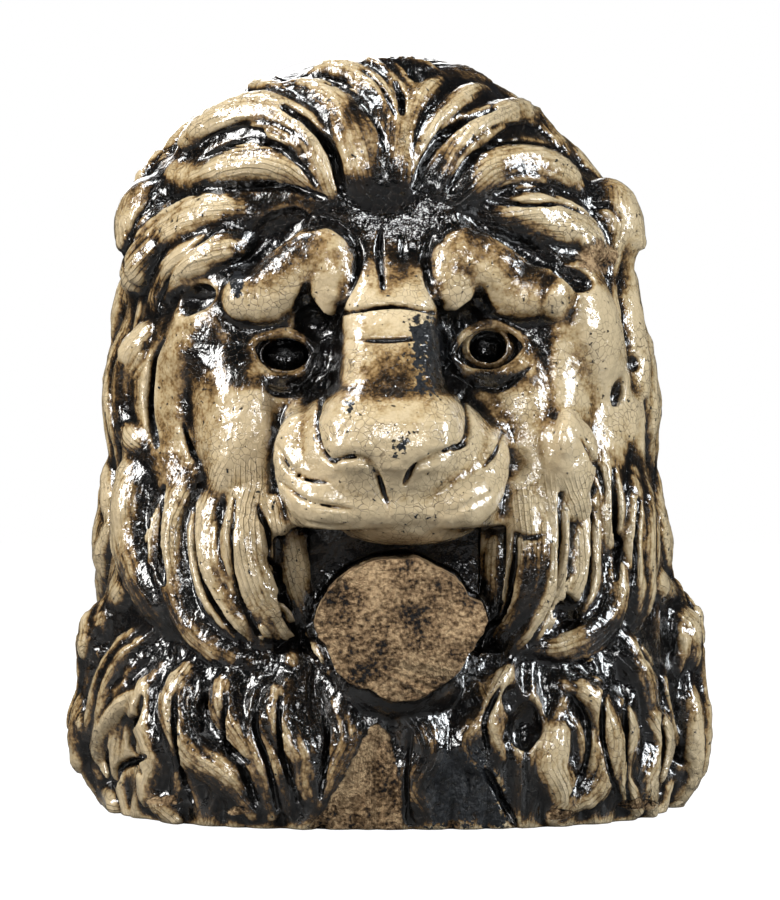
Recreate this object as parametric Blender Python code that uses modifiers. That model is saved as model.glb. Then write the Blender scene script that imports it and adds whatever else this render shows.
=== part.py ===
"""A lion's head and mane in glazed stoneware, made in one piece and standing on its flat underside.

The face looks along -Y, +Z is up, and the origin is at the middle of the underside's box. The
carving is laid out in drawn millimetres, as shares of the head's own height, width and depth. What
shows from the front is drawn as it is seen by someone standing before the head: across from the
middle, and up from the base. What lies on the sides and the back is laid out by its angle round
the head and its height.
"""

import math

import bmesh
import bpy
import numpy as np
from mathutils import Matrix, Vector
from mathutils.bvhtree import BVHTree

# Driving sizes, in metres
HEAD_HEIGHT = 0.406
HEAD_WIDTH = 0.347
HEAD_DEPTH = 0.306
EYE_HOLE_WIDTH = 0.023
EYE_HOLE_HEIGHT = 0.0165
EYE_HOLE_DEPTH = 0.030
JAW_STUB_WIDTH = 0.093
JAW_STUB_HEIGHT = 0.075
MOUTH_DEPTH = 0.052

# The drawn head, in its own millimetres, and where its viewer stands
DRAWN_HEIGHT = 403.0
DRAWN_WIDTH = 343.7
DRAWN_DEPTH = 302.6
SHEET_Y = -130.0
EYE_POINT = np.array([0.0, SHEET_Y - 1600.0, 202.0])
ANGLE_MM = 2.3
OUTSIDE = 400.0

# Fineness of the worked surface, in drawn millimetres
LUMP_VOXEL = 4.0
LOCK_VOXEL = 2.0
GROOVE_VOXEL = 1.6
SMOOTH_FACTOR = 0.45
SMOOTH_PASSES = 1
TRIANGLES = 9800
EGG_SEGMENTS = 24
EGG_RINGS = 16
POST_SEGMENTS = 28
PATH_STEPS = 12
STRIP_ROUNDNESS = 2
LID_STEPS = 16
LID_RADIUS = 4.2
LID_LIFT = 1.0
BROW_LIFT = 1.5
FRONT_PRESS = 0.9
SIDE_PRESS = 0.9
FURROW_SWELL = 1.35
FURROW_END = 0.6
WELD = 1e-6

GLAZE_COLOUR = (0.36, 0.24, 0.12, 1.0)
GLAZE_ROUGHNESS = 0.2

# Height, middle, half width, front and back of the head under its locks
BODY_SECTIONS = (
    (-14.0, 0.0, 156.0, -121.0, 123.0),
    (20.0, 0.0, 159.0, -124.0, 126.0),
    (55.0, -0.5, 163.5, -123.0, 127.0),
    (105.0, -2.5, 152.5, -112.0, 121.0),
    (160.0, -4.0, 136.5, -98.0, 115.0),
    (205.0, -5.0, 141.0, -94.0, 111.0),
    (250.0, -4.0, 136.5, -92.0, 108.0),
    (290.0, -3.0, 129.0, -90.0, 103.0),
    (318.0, -6.0, 122.0, -88.0, 98.0),
    (346.0, -8.0, 108.0, -82.0, 93.0),
    (367.0, -12.0, 93.0, -71.0, 84.0),
    (383.0, -14.0, 75.0, -58.0, 70.0),
    (396.0, -10.0, 52.0, -42.0, 50.0),
)
BODY_TOP = (0.0, 4.0, 405.0)
BODY_SIDES = 20
BODY_SQUARENESS = 2.6
BODY_ROUNDING = 2

SCALE = Vector(
    (HEAD_WIDTH / DRAWN_WIDTH, HEAD_DEPTH / DRAWN_DEPTH, HEAD_HEIGHT / DRAWN_HEIGHT)
)


def clear_scene():
    for obj in list(bpy.data.objects):
        bpy.data.objects.remove(obj, do_unlink=True)


def new_collection(name, hidden=False):
    collection = bpy.data.collections.new(name)
    bpy.context.scene.collection.children.link(collection)
    collection.hide_render = hidden
    return collection


def scaled(point):
    """A drawn point in metres."""
    return Vector((point[0] * SCALE.x, point[1] * SCALE.y, point[2] * SCALE.z))


def object_of(name, mesh, collection):
    obj = bpy.data.objects.new(name, mesh)
    collection.objects.link(obj)
    return obj


def mesh_of(shape, name):
    mesh = bpy.data.meshes.new(name)
    shape.to_mesh(mesh)
    shape.free()
    return mesh


def evaluated_mesh(obj):
    """A copy of the object's mesh with its modifiers applied."""
    bpy.context.view_layer.update()
    graph = bpy.context.evaluated_depsgraph_get()
    return bpy.data.meshes.new_from_object(obj.evaluated_get(graph), depsgraph=graph)


def body_cage():
    """The head under its hair: a coarse loft of squarish ovals, which a subdivision rounds."""
    cage = bmesh.new()
    rings = []
    for height, middle, half_width, front, back in BODY_SECTIONS:
        ring = []
        for side in range(BODY_SIDES):
            angle = 2 * math.pi * (side + 0.5) / BODY_SIDES
            across, along = math.sin(angle), -math.cos(angle)
            reach = (abs(across) ** BODY_SQUARENESS + abs(along) ** BODY_SQUARENESS) ** (
                -1 / BODY_SQUARENESS
            )
            depth = -front if along < 0 else back
            point = (middle + across * reach * half_width, along * reach * depth, height)
            ring.append(cage.verts.new(scaled(point)))
        rings.append(ring)
    for lower, upper in zip(rings, rings[1:]):
        for side in range(BODY_SIDES):
            after = (side + 1) % BODY_SIDES
            cage.faces.new((lower[side], lower[after], upper[after], upper[side]))
    cage.faces.new(list(reversed(rings[0])))
    top = cage.verts.new(scaled(BODY_TOP))
    for side in range(BODY_SIDES):
        cage.faces.new((rings[-1][side], rings[-1][(side + 1) % BODY_SIDES], top))
    return mesh_of(cage, "body_cage")


def swelling(shape, centre, radii, lean=0.0):
    """An egg-shaped swelling, leaning by an angle in the front view, added to a bmesh."""
    matrix = (
        Matrix.Diagonal(SCALE).to_4x4()
        @ Matrix.Translation(centre)
        @ Matrix.Rotation(math.radians(lean), 4, "Y")
        @ Matrix.Diagonal(radii).to_4x4()
    )
    bmesh.ops.create_uvsphere(
        shape, u_segments=EGG_SEGMENTS, v_segments=EGG_RINGS, radius=1.0, matrix=matrix
    )


def drawn_ray(across, up):
    """The direction in which the viewer sees a drawn point."""
    return np.array([across, SHEET_Y, up]) - EYE_POINT


def hit(tree, start, ray):
    """Where a ray meets the form, or else the form's point nearest to its middle, and the normal."""
    found, normal, _, _ = tree.ray_cast(scaled(start), scaled(ray).normalized())
    if found is None:
        near = start - ray * start[1] / ray[1]
        found, normal, _, _ = tree.find_nearest(scaled(near))
    back = Vector((found.x / SCALE.x, found.y / SCALE.y, found.z / SCALE.z))
    return np.array(back), np.array(normal)


def seen_from_front(tree, across, up):
    return hit(tree, EYE_POINT, drawn_ray(across, up))


def seen_from_round(tree, arc, height):
    """A point by its way round the head from the front, in drawn millimetres, and its height."""
    angle = math.radians(arc / ANGLE_MM)
    outward = np.array([math.sin(angle), -math.cos(angle), 0.0])
    return hit(tree, np.array([0.0, 0.0, height]) + outward * OUTSIDE, -outward)


def curve_through(knots, steps=PATH_STEPS):
    """Evenly spaced points on a smooth curve through the knots."""
    knots = np.array(knots, float)
    padded = np.vstack([2 * knots[0] - knots[1], knots, 2 * knots[-1] - knots[-2]])
    spots = []
    for first in range(len(knots) - 1):
        a, b, c, d = padded[first : first + 4]
        for t in np.linspace(0, 1, PATH_STEPS, endpoint=False):
            bend = 2 * a - 5 * b + 4 * c - d + t * (3 * b - a - 3 * c + d)
            spots.append(b + 0.5 * t * (c - a + t * bend))
    spots = np.array(spots + [knots[-1]])
    length = np.concatenate([[0], np.cumsum(np.linalg.norm(np.diff(spots, axis=0), axis=1))])
    even = np.linspace(0, length[-1], steps)
    return np.stack([np.interp(even, length, column) for column in spots.T], axis=-1)


class Strips:
    """Strips of clay laid on a form, kept as routes with a radius at each point."""

    def __init__(self, tree):
        self.tree = tree
        self.routes = []

    def lay(self, knots, widths, lift=0.0, place=seen_from_front, press=FRONT_PRESS):
        """A strip through the knots, pressed into the form so that it stands out by part of it."""
        flat = curve_through(knots)
        share = np.linspace(0, 1, len(flat))
        radii = np.interp(share, np.linspace(0, 1, len(widths)), widths) / 2
        points = []
        for (across, up), radius in zip(flat, radii):
            point, normal = place(self.tree, across, up)
            points.append(point + normal * (lift - (1 - press) * radius))
        self.routes.append((points, radii, False))

    def ring(self, centre, across, up, radius):
        """A closed roll round an oval, such as an eyelid."""
        points = []
        for step in range(LID_STEPS):
            angle = 2 * math.pi * step / LID_STEPS
            point, normal = seen_from_front(
                self.tree,
                centre[0] + across * math.cos(angle),
                centre[1] + up * math.sin(angle),
            )
            points.append(point + normal * LID_LIFT)
        self.routes.append((points, [radius] * len(points), True))

    def mesh(self):
        """All the strips as one mesh, from one bevelled curve."""
        curve = bpy.data.curves.new("strips", "CURVE")
        curve.dimensions = "3D"
        curve.bevel_depth = SCALE.z
        curve.bevel_resolution = STRIP_ROUNDNESS
        curve.use_fill_caps = True
        for points, radii, closed in self.routes:
            spline = curve.splines.new("POLY")
            spline.points.add(len(points) - 1)
            spline.use_cyclic_u = closed
            for knot, point, radius in zip(spline.points, points, radii):
                knot.co = (*scaled(point), 1.0)
                knot.radius = radius
        holder = bpy.data.objects.new("strips", curve)
        bpy.context.scene.collection.objects.link(holder)
        mesh = evaluated_mesh(holder)
        bpy.data.objects.remove(holder, do_unlink=True)
        welded = bmesh.new()
        welded.from_mesh(mesh)
        bmesh.ops.remove_doubles(welded, verts=welded.verts, dist=WELD)
        return mesh_of(welded, "strips")


# Depth, height and radius of the ridge of the nose, from the brow down to its tip
NOSE_RIDGE = (
    (-90, 283, 10), (-104, 264, 14), (-116, 244, 16), (-125, 226, 18), (-136, 210, 21),
    (-142, 199, 23),
)
NOSE_HALF_WIDTH = 15.0
NOSE_THINNESS = 0.7
# Middles and radii: the forehead, the nose tip and the muzzle
MIDDLE_FORMS = (
    ((0, -45, 248), (84, 54, 70)),
    ((0, -138, 197), (34, 28, 21)),
    ((-1, -106, 186), (58, 54, 40)),
)
# Middles and radii of the temples, cheekbones, jowls, cheeks, wings of the nose and whisker pads
PAIRED_FORMS = (
    ((84, -60, 258), (28, 30, 42)),
    ((66, -70, 205), (33, 34, 50)),
    ((64, -82, 132), (34, 34, 56)),
    ((104, -50, 140), (30, 34, 62)),
    ((27, -139, 198), (12, 24, 17)),
    ((36, -117, 185), (26, 42, 36)),
)
# Middle, radii and lean of the ears
EARS = (
    ((-127, -30, 313), (22, 20, 26), 18),
    ((114, -30, 315), (19, 20, 22), -16),
)


def face_forms(shape):
    """Brow, nose, muzzle, cheeks and ears, as swellings on the head."""
    for middle, radii in MIDDLE_FORMS:
        swelling(shape, middle, radii)
    for middle, radii in PAIRED_FORMS:
        for side in (-1, 1):
            swelling(shape, (side * middle[0], middle[1], middle[2]), radii)
    for across in (-NOSE_HALF_WIDTH, 0, NOSE_HALF_WIDTH):
        for depth, height, radius in NOSE_RIDGE:
            middle = (across * radius / NOSE_HALF_WIDTH, depth, height)
            swelling(shape, middle, (radius * NOSE_THINNESS, radius, radius))
    for middle, radii, lean in EARS:
        swelling(shape, middle, radii, lean)


def brows_and_lids(strips):
    """Thick comma brows, and a roll round each eye."""
    for knots, widths in (
        (((-75, 267), (-63, 268.5), (-50, 281.5), (-35, 289.5), (-30, 277.5), (-32.5, 261.5)),
         (21, 26, 26, 27, 21, 8)),
        (((78.5, 269.5), (64, 272), (51, 282), (37.5, 288), (31.5, 275.5), (36, 263.5)),
         (22, 28, 30, 30, 21, 8)),
    ):
        strips.lay(knots, widths, BROW_LIFT)
    for middle, across, up in (((-54, 240.5), 17, 12), ((50.5, 243.5), 18, 13.5)):
        strips.ring(middle, across, up, LID_RADIUS)


def crown_hair(strips):
    """The forelock, which fans out and falls back, and the leaf-shaped locks beside it."""
    for knots, widths, lift in (
        (((-44, 361.5), (-63, 373.5), (-74, 373.5)), (12, 14, 9), 1.0),
        (((0, 328.5), (2, 352.5), (4, 372.5)), (34, 36, 20), -2.0),
        (((24, 382.5), (6, 384.5), (-11, 382.5)), (10, 15, 9), 0.0),
        (((-31, 325.5), (-37.5, 342.5), (-49, 354.5), (-64, 361), (-81, 359), (-96.5, 351),
          (-108, 337.5)),
         (15, 17, 19, 20, 19, 17, 10), 3.5),
        (((-38, 323), (-49, 331), (-64, 335.5), (-79, 334.5), (-93, 330), (-102, 326)),
         (12, 14, 15, 15, 13, 8), 2.0),
        (((-12, 329.5), (-17.5, 346.5), (-28.5, 361.5), (-44, 370.5), (-56, 370.5)),
         (21, 23, 20, 15, 8), 4.0),
        (((0.5, 344.5), (-2.5, 361.5), (-13, 375), (-27, 381), (-41, 380.5)),
         (12, 13, 14, 13, 8), 3.5),
        (((5.5, 359.5), (2, 373.5), (-5, 381.5), (-15, 384.5)), (8, 9, 8, 5), 3.5),
        (((7.5, 331.5), (10.5, 351.5), (15.5, 367.5), (25, 378.5)), (16, 15, 14, 8), 3.5),
        (((13, 337.5), (26, 357.5), (39, 368.5), (48, 372.5)), (11, 13, 13, 10), 3.5),
        (((25, 325.5), (33.5, 341.5), (46, 354), (61, 360), (76.5, 355.5), (89, 343.5),
          (100.5, 331.5)),
         (12, 14, 16, 16, 15, 12, 7), 3.0),
        (((39, 322.5), (53, 332), (71, 334), (86.5, 330.5), (97.5, 320.5)),
         (13, 18, 20, 18, 10), 3.0),
        (((59, 309.5), (76, 308.5), (94, 302.5), (108, 289.5)), (16, 23, 24, 16), 1.5),
        (((84, 301.5), (95, 297.5), (101, 287.5)), (6, 8, 6), 6.5),
    ):
        strips.lay(knots, widths, lift)


def mane(strips):
    """Wide curved locks on the left, and on the right a smooth fall that breaks into points."""
    for knots, widths, lift in (
        (((-74, 311.5), (-94, 308), (-111, 299.5), (-123.5, 285.5), (-130, 265.5)),
         (12, 18, 19, 17, 11), 3.0),
        (((-76, 298.5), (-89, 293.5), (-104, 285.5), (-114, 272.5), (-119, 256.5)),
         (14, 19, 18, 14, 9), 1.5),
        (((-118, 252.5), (-131, 242.5), (-137.5, 225), (-137, 207.5), (-129.5, 192.5),
          (-118, 182.5)), (10, 12, 13, 13, 12, 8), 3.5),
        (((-108, 249.5), (-111, 227.5), (-110, 205), (-105, 185.5)), (16, 20, 20, 12), 1.0),
        (((-114, 230.5), (-111, 239), (-105, 237.5), (-106, 224.5)), (5, 7, 7, 5), 6.0),
        (((-120, 189.5), (-133.5, 177.5), (-139.5, 157.5), (-137, 137.5), (-128.5, 119.5),
          (-122.5, 103.5)), (10, 12, 12, 12, 11, 8), 3.0),
        (((-127, 139.5), (-119, 120), (-104, 98.5)), (14, 17, 12), 1.0),
        (((-103, 178.5), (-111, 157.5), (-112.5, 137.5), (-106, 117.5), (-91.5, 97.5),
          (-75, 87), (-63, 84.5)),
         (9, 15, 17, 17, 15, 12, 9), 4.5),
        (((-88.5, 173.5), (-93.5, 147.5), (-89.5, 125), (-80, 108.5), (-69, 92.5)),
         (9, 13, 13, 10, 4), 4.0),
        (((-73.5, 168.5), (-75.5, 145), (-71, 121.5), (-62.5, 100), (-50.5, 79.5)),
         (6, 9, 9, 9, 7), 4.5),
        (((-60, 157.5), (-53.5, 137.5), (-48, 117.5), (-42.5, 100.5)), (13, 22, 19, 6), 2.5),
        (((-46, 114.5), (-38, 92.5), (-25, 73.5)), (10, 9, 6), 3.5),
        (((54.5, 168.5), (58, 145), (56, 121.5), (49, 101.5)), (11, 14, 13, 8), 3.0),
        (((81.5, 178.5), (81, 152.5), (79.5, 122.5), (70, 97.5), (57, 82.5)), (5, 8, 9, 9, 8), 4.5),
        (((95, 179.5), (98, 147.5), (95, 122.5), (86, 103.5)), (12, 16, 16, 8), 3.5),
        (((105.5, 191.5), (110, 163.5), (110, 139.5)), (8, 10, 3), 4.5),
        (((112.5, 138.5), (110.5, 115.5), (101.5, 99.5), (87, 92), (73, 92)),
         (7, 11, 11, 10, 8), 5.0),
        (((121.5, 160), (123, 130), (117, 102.5)), (12, 17, 8), 3.0),
        (((131, 177.5), (132, 139.5), (127, 110.5)), (12, 14, 7), 2.5),
        (((102, 272.5), (110, 242.5), (112, 212.5), (106, 188.5)), (26, 32, 32, 24), 0.5),
        (((123, 282.5), (127.5, 247.5), (129.5, 217.5), (126.5, 191.5)), (18, 22, 22, 16), 1.0),
    ):
        strips.lay(knots, widths, lift)


def collar(strips):
    """The short curling locks round the foot."""
    for knots, widths, lift in (
        (((-133, 117.5), (-145, 97.5), (-152, 72.5), (-154, 47.5)), (14, 18, 18, 12), 0.0),
        (((-119, 102.5), (-139, 78.5), (-148, 54.5), (-148, 29.5), (-141, 14.5)),
         (13, 20, 24, 24, 18), 2.0),
        (((-119, 74.5), (-137, 60.5), (-144.5, 34.5)), (7, 9, 4), 6.0),
        (((-118, 75.5), (-119, 47.5), (-114.5, 23.5), (-106.5, 6.5)), (12, 16, 18, 15), 3.0),
        (((-98, 85.5), (-103.5, 60.5), (-96.5, 41.5), (-82, 28.5), (-71, 11.5)),
         (11, 15, 17, 16, 12), 4.0),
        (((-74, 77.5), (-77.5, 56.5), (-70, 40.5), (-61, 14.5)), (11, 15, 16, 13), 4.0),
        (((-62, 69.5), (-62, 45), (-54, 17.5)), (9, 12, 10), 3.0),
        (((-46, 75.5), (-51.5, 55), (-44, 34.5), (-36, 11.5)), (12, 17, 17, 11), 3.5),
        (((-30, 73.5), (-21, 50), (-28, 26.5), (-39, 4.5)), (11, 17, 17, 9), 3.0),
        (((41, 79.5), (46, 60), (39.5, 44.5), (50, 27.5)), (12, 15, 15, 6), 3.0),
        (((63, 82.5), (52.5, 61.5), (52.5, 40.5)), (8, 11, 7), 4.5),
        (((85, 73.5), (100, 63.5), (106.5, 42.5), (99.5, 15.5)), (9, 13, 16, 12), 4.5),
        (((84, 50), (82, 32.5), (87, 14.5)), (11, 19, 15), 2.5),
        (((109, 64.5), (112.5, 41.5), (121, 15.5)), (9, 13, 11), 3.0),
        (((129, 59.5), (129.5, 32.5), (126, 12.5)), (12, 19, 17), 2.5),
        (((142, 73.5), (151, 52.5), (152, 32.5), (146, 14.5)), (13, 22, 23, 18), 2.0),
        (((112, 100.5), (125, 79.5), (131, 55.5)), (13, 19, 14), 1.0),
        (((133.5, 126.5), (146, 97.5), (155, 69.5)), (10, 15, 14), 1.0),
        (((7, 61.5), (16.5, 42.5), (13, 15.5)), (18, 24, 19), 1.0),
        (((-4, 64.5), (-13, 46.5), (-20, 22.5)), (14, 20, 18), 1.0),
    ):
        strips.lay(knots, widths, lift)


# Low end, high end, first angle, number on each side and width of the rows of hanging locks
BACK_ROWS = (
    (6, 108, 73, 9, 27), (92, 190, 79, 8, 26), (166, 262, 80, 8, 25), (232, 322, 84, 8, 24),
    (288, 360, 98, 7, 23),
)
ROOT_SHARE = 0.7
TIP_SHARE = 0.35
ROW_LIFT = 1.5
CROWN_LOCKS = 9
CROWN_FIRST_ANGLE = 104
CROWN_ANGLE_STEP = 19
CROWN_LOCK = (388, 368, 338)
CROWN_LOCK_WIDTHS = (21, 26, 9)
# How the locks of a row differ from one another
LOCK_PHASE = 5.3
ROW_PHASE = 2.1
CROWN_PHASE = 3.7
LOCK_LEAN = 10.0
LEAN_VARY = 9.0
ROOT_VARY = 4.0
END_VARY = 5.5
BELLY_RISE = 10.0
WIDTH_VARY = 3.0


def back_hair(strips):
    """Rows of locks that hang down the sides and the back, each row over the one below it."""
    for row, (low, high, first, count, width) in enumerate(BACK_ROWS):
        for number in range(2 * count):
            side = -1 if number < count else 1
            step = (number % count + (row % 2) / 2) / (count - 0.5)
            arc = side * ANGLE_MM * (first + (180 - first) * step)
            vary = math.sin(LOCK_PHASE * number + ROW_PHASE * row)
            lean = side * (LOCK_LEAN + LEAN_VARY * vary)
            root = (arc + side * ROOT_VARY * vary, high + END_VARY * vary)
            belly = (arc - lean / 2, (high + low) / 2 + BELLY_RISE)
            tip = (arc + lean, low + END_VARY * vary)
            full = width + WIDTH_VARY * vary
            widths = (ROOT_SHARE * full, full, TIP_SHARE * full)
            strips.lay((root, belly, tip), widths, ROW_LIFT, seen_from_round, SIDE_PRESS)
    high, middle, low = CROWN_LOCK
    for number in range(CROWN_LOCKS):
        arc = ANGLE_MM * (CROWN_FIRST_ANGLE + number * CROWN_ANGLE_STEP)
        vary = END_VARY * math.sin(CROWN_PHASE * number)
        knots = ((arc, high), (arc + vary, middle), (arc - vary, low + vary))
        strips.lay(knots, CROWN_LOCK_WIDTHS, 0.0, seen_from_round, SIDE_PRESS)


def applied(obj):
    """The object with its modifiers made part of its mesh."""
    mesh = evaluated_mesh(obj)
    obj.modifiers.clear()
    obj.data = mesh


def fused(obj, voxel):
    """Overlapping closed shapes made one skin, and softened as wet clay is under a sponge."""
    fuse = obj.modifiers.new("fuse", "REMESH")
    fuse.mode = "VOXEL"
    fuse.voxel_size = voxel * SCALE.z
    soften = obj.modifiers.new("soften", "SMOOTH")
    soften.factor = SMOOTH_FACTOR
    soften.iterations = SMOOTH_PASSES
    applied(obj)


def cut(obj, cutter):
    hollow = obj.modifiers.new("hollow", "BOOLEAN")
    hollow.operation = "DIFFERENCE"
    hollow.object = cutter
    applied(obj)


def thinned(obj):
    """The skin brought down to a few thousand triangles."""
    thin = obj.modifiers.new("thin", "DECIMATE")
    thin.ratio = TRIANGLES / (2 * len(obj.data.polygons))
    thin.use_collapse_triangulate = True
    applied(obj)


# The mouth's middle, width, height and the reach of its cutter before the sheet
MOUTH_MIDDLE = (1.5, 124.0)
MOUTH_WIDTH = 91.0
MOUTH_HEIGHT = 56.0
MOUTH_FRONT = 80.0
MOUTH_SETBACK = 12.0


def mouth_cutter(collection):
    """The open mouth, under the flat lower edge of the muzzle."""
    shape = bmesh.new()
    front, back = SHEET_Y - MOUTH_FRONT, SHEET_Y - MOUTH_SETBACK + MOUTH_DEPTH / SCALE.y
    matrix = (
        Matrix.Diagonal(SCALE).to_4x4()
        @ Matrix.Translation((MOUTH_MIDDLE[0], (front + back) / 2, MOUTH_MIDDLE[1]))
        @ Matrix.Diagonal((MOUTH_WIDTH, back - front, MOUTH_HEIGHT)).to_4x4()
    )
    bmesh.ops.create_cube(shape, size=1.0, matrix=matrix)
    obj = object_of("mouth", mesh_of(shape, "mouth"), collection)
    obj.display_type = "WIRE"
    return obj


# The stump of the lower jaw: its middle, the depths of its face and its root, and its tilt
JAW_MIDDLE = (4.0, 101.0)
JAW_FACE = -149.0
JAW_ROOT = -80.0
JAW_LEAN = 3.0
JAW_TAPER = 0.98
CHIN_MIDDLE = (4, -118, 74)
CHIN_RADII = (34, 24, 20)


def round_post(shape, middle, front, back, size, lean=0.0, taper=1.0):
    """An oval post from front to back, added to a bmesh; size is its width and height."""
    matrix = (
        Matrix.Diagonal(SCALE).to_4x4()
        @ Matrix.Translation((middle[0], (front + back) / 2, middle[1]))
        @ Matrix.Rotation(math.radians(90 + lean), 4, "X")
        @ Matrix.Diagonal((size[0] / SCALE.x, size[1] / SCALE.z, 1, 1))
    )
    bmesh.ops.create_cone(
        shape, cap_ends=True, segments=POST_SEGMENTS, radius1=0.5, radius2=0.5 * taper,
        depth=back - front, matrix=matrix,
    )


def jaw_stub(shape):
    """What is left of the lower jaw: a stump with a broken face, on the rounded chin behind it."""
    size = (JAW_STUB_WIDTH, JAW_STUB_HEIGHT)
    round_post(shape, JAW_MIDDLE, JAW_FACE, JAW_ROOT, size, JAW_LEAN, JAW_TAPER)
    swelling(shape, CHIN_MIDDLE, CHIN_RADII)


# How far before the eyelids the eye hole's cutter starts
EYE_LEAD = 12.0


def carving_cutter(collection, tree):
    """The eye holes, the hollows under the brows and in the ears, and the deeper furrows."""
    furrows = Strips(tree)
    for knots, width in (
        (((-26, 261), (0, 264.5), (23, 261)), 5),
        (((-5, 301), (-5.5, 288.5), (-3.5, 273.5)), 6),
        (((-29, 186.5), (-18, 188), (-10, 185), (-2, 166)), 6),
        (((38, 195.5), (20, 186.5), (7.5, 174.5)), 6),
        (((-35, 218.5), (-37.5, 205), (-35, 191.5), (-29, 184.5)), 6),
        (((37, 218.5), (40, 207.5), (36, 193.5)), 6),
        (((-58, 194), (-52.5, 184), (-33, 175.5)), 5),
        (((-56, 175.5), (-46, 168), (-19, 162)), 5),
        (((58.5, 201.5), (56, 192.5), (48, 182.5)), 5),
        (((-18, 299.5), (-15.5, 286.5), (-22, 268.5), (-30, 251.5)), 6),
        (((21, 299.5), (18, 286.5), (22, 269.5), (29, 254.5)), 6),
        (((-74, 236.5), (-63, 223), (-48, 221), (-33, 232.5)), 6),
        (((31, 230.5), (42, 223.5), (57, 223.5), (71, 233.5)), 6),
        (((40, 309.5), (56, 299.5), (70, 289.5), (82, 283.5)), 10),
        (((-24.5, 322.5), (-29.5, 341.5), (-40.5, 356.5), (-54, 365)), 7),
        (((13, 324.5), (19, 339.5), (32, 354.5), (53, 364.5)), 7),
        (((-35, 317.5), (-54, 320), (-76.5, 321), (-98, 321.5)), 6),
        (((52, 317.5), (70, 316), (86, 316.5), (99, 311.5)), 6),
        (((-117.5, 247.5), (-124, 235.5), (-125.5, 217.5), (-123, 202.5), (-117, 193.5)), 8),
        (((-118, 174.5), (-123.5, 158.5), (-124.5, 141.5), (-120.5, 125.5)), 12),
        (((-96, 173.5), (-102, 153.5), (-100, 130.5), (-90, 111.5), (-74, 95.5)), 7),
        (((-80, 165), (-83, 142.5), (-78.5, 116.5), (-69, 97.5), (-59, 85.5)), 8),
        (((-66, 157.5), (-62.5, 125), (-54.5, 101), (-41, 81.5)), 8),
        (((62, 120.5), (54, 102.5), (42, 82.5)), 8),
        (((71, 149.5), (71, 131.5), (63, 111.5)), 12),
        (((86, 169.5), (86.5, 137.5), (83, 111.5), (68, 90.5)), 7),
        (((105, 167.5), (106, 142.5), (102, 121.5), (93, 105.5)), 7),
        (((114.5, 182.5), (116.5, 162.5), (115, 141.5)), 8),
        (((-93.5, 74.5), (-94.5, 59.5), (-87, 45.5), (-73, 34.5)), 8),
        (((-127, 67.5), (-132, 50), (-127.5, 29.5)), 8),
        (((-110, 67.5), (-110, 42.5), (-101, 14.5)), 7),
        (((-66, 72.5), (-69, 53.5), (-62, 32.5), (-57, 11.5)), 7),
        (((49, 30), (57, 16.5), (65, 0.5)), 7),
        (((110, 72.5), (108.5, 47.5), (116.5, 17.5)), 7),
        (((138.5, 64.5), (140.5, 42.5), (137, 15.5)), 7),
    ):
        full = FURROW_SWELL * width
        furrows.lay(knots, (full * FURROW_END, full, full * FURROW_END), press=1.0)
    shape = bmesh.new()
    shape.from_mesh(furrows.mesh())
    eye_size = (EYE_HOLE_WIDTH, EYE_HOLE_HEIGHT)
    for across, up in ((-53.5, 240.5), (50.5, 244)):
        place, _ = seen_from_front(tree, across, up)
        front, back = place[1] - EYE_LEAD, place[1] + EYE_HOLE_DEPTH / SCALE.y
        round_post(shape, (place[0], place[2]), front, back, eye_size)
    for (across, up), radii, lean in (
        ((-63, 301.5), (20, 6, 9), -30),
        ((-34, 242.5), (6, 10, 16), 8),
        ((26.5, 244), (6, 10, 15), -8),
        ((-42.5, 261.5), (7, 10, 11), 0),
        ((44, 264.5), (7, 10, 10), 0),
        ((-100.5, 267.5), (15, 8, 8), -12),
        ((68, 55.5), (12, 9, 16), 10),
        ((117, 221.5), (6, 9, 10), 15),
        ((-130, 309.5), (7, 12, 11), 8),
        ((110, 311.5), (7, 12, 5), 0),
        ((-120, 150), (7, 9, 20), 4),
        ((70, 130), (7, 9, 17), 4),
        ((91, 107.5), (8, 9, 10), 0),
    ):
        place, _ = seen_from_front(tree, across, up)
        swelling(shape, place, radii, lean)
    obj = object_of("carving", mesh_of(shape, "carving"), collection)
    obj.display_type = "WIRE"
    fused(obj, GROOVE_VOXEL)
    return obj


def below_cutter(collection):
    """Everything below the flat underside."""
    shape = bmesh.new()
    size = 3 * DRAWN_WIDTH
    matrix = (
        Matrix.Diagonal(SCALE).to_4x4()
        @ Matrix.Translation((0, 0, -size / 2))
        @ Matrix.Diagonal((size, size, size)).to_4x4()
    )
    bmesh.ops.create_cube(shape, size=1.0, matrix=matrix)
    obj = object_of("below", mesh_of(shape, "below"), collection)
    obj.display_type = "WIRE"
    return obj


def centred(obj):
    """The middle of the underside's box put at the origin."""
    spots = np.array([vertex.co for vertex in obj.data.vertices])
    middle = (spots.min(axis=0) + spots.max(axis=0)) / 2
    obj.data.transform(Matrix.Translation((-middle[0], -middle[1], -spots[:, 2].min())))


def glaze():
    material = bpy.data.materials.new("glazed_stoneware")
    material.use_nodes = True
    shader = material.node_tree.nodes["Principled BSDF"]
    shader.inputs["Base Color"].default_value = GLAZE_COLOUR
    shader.inputs["Roughness"].default_value = GLAZE_ROUGHNESS
    shader.inputs["Metallic"].default_value = 0.0
    return material


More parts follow.
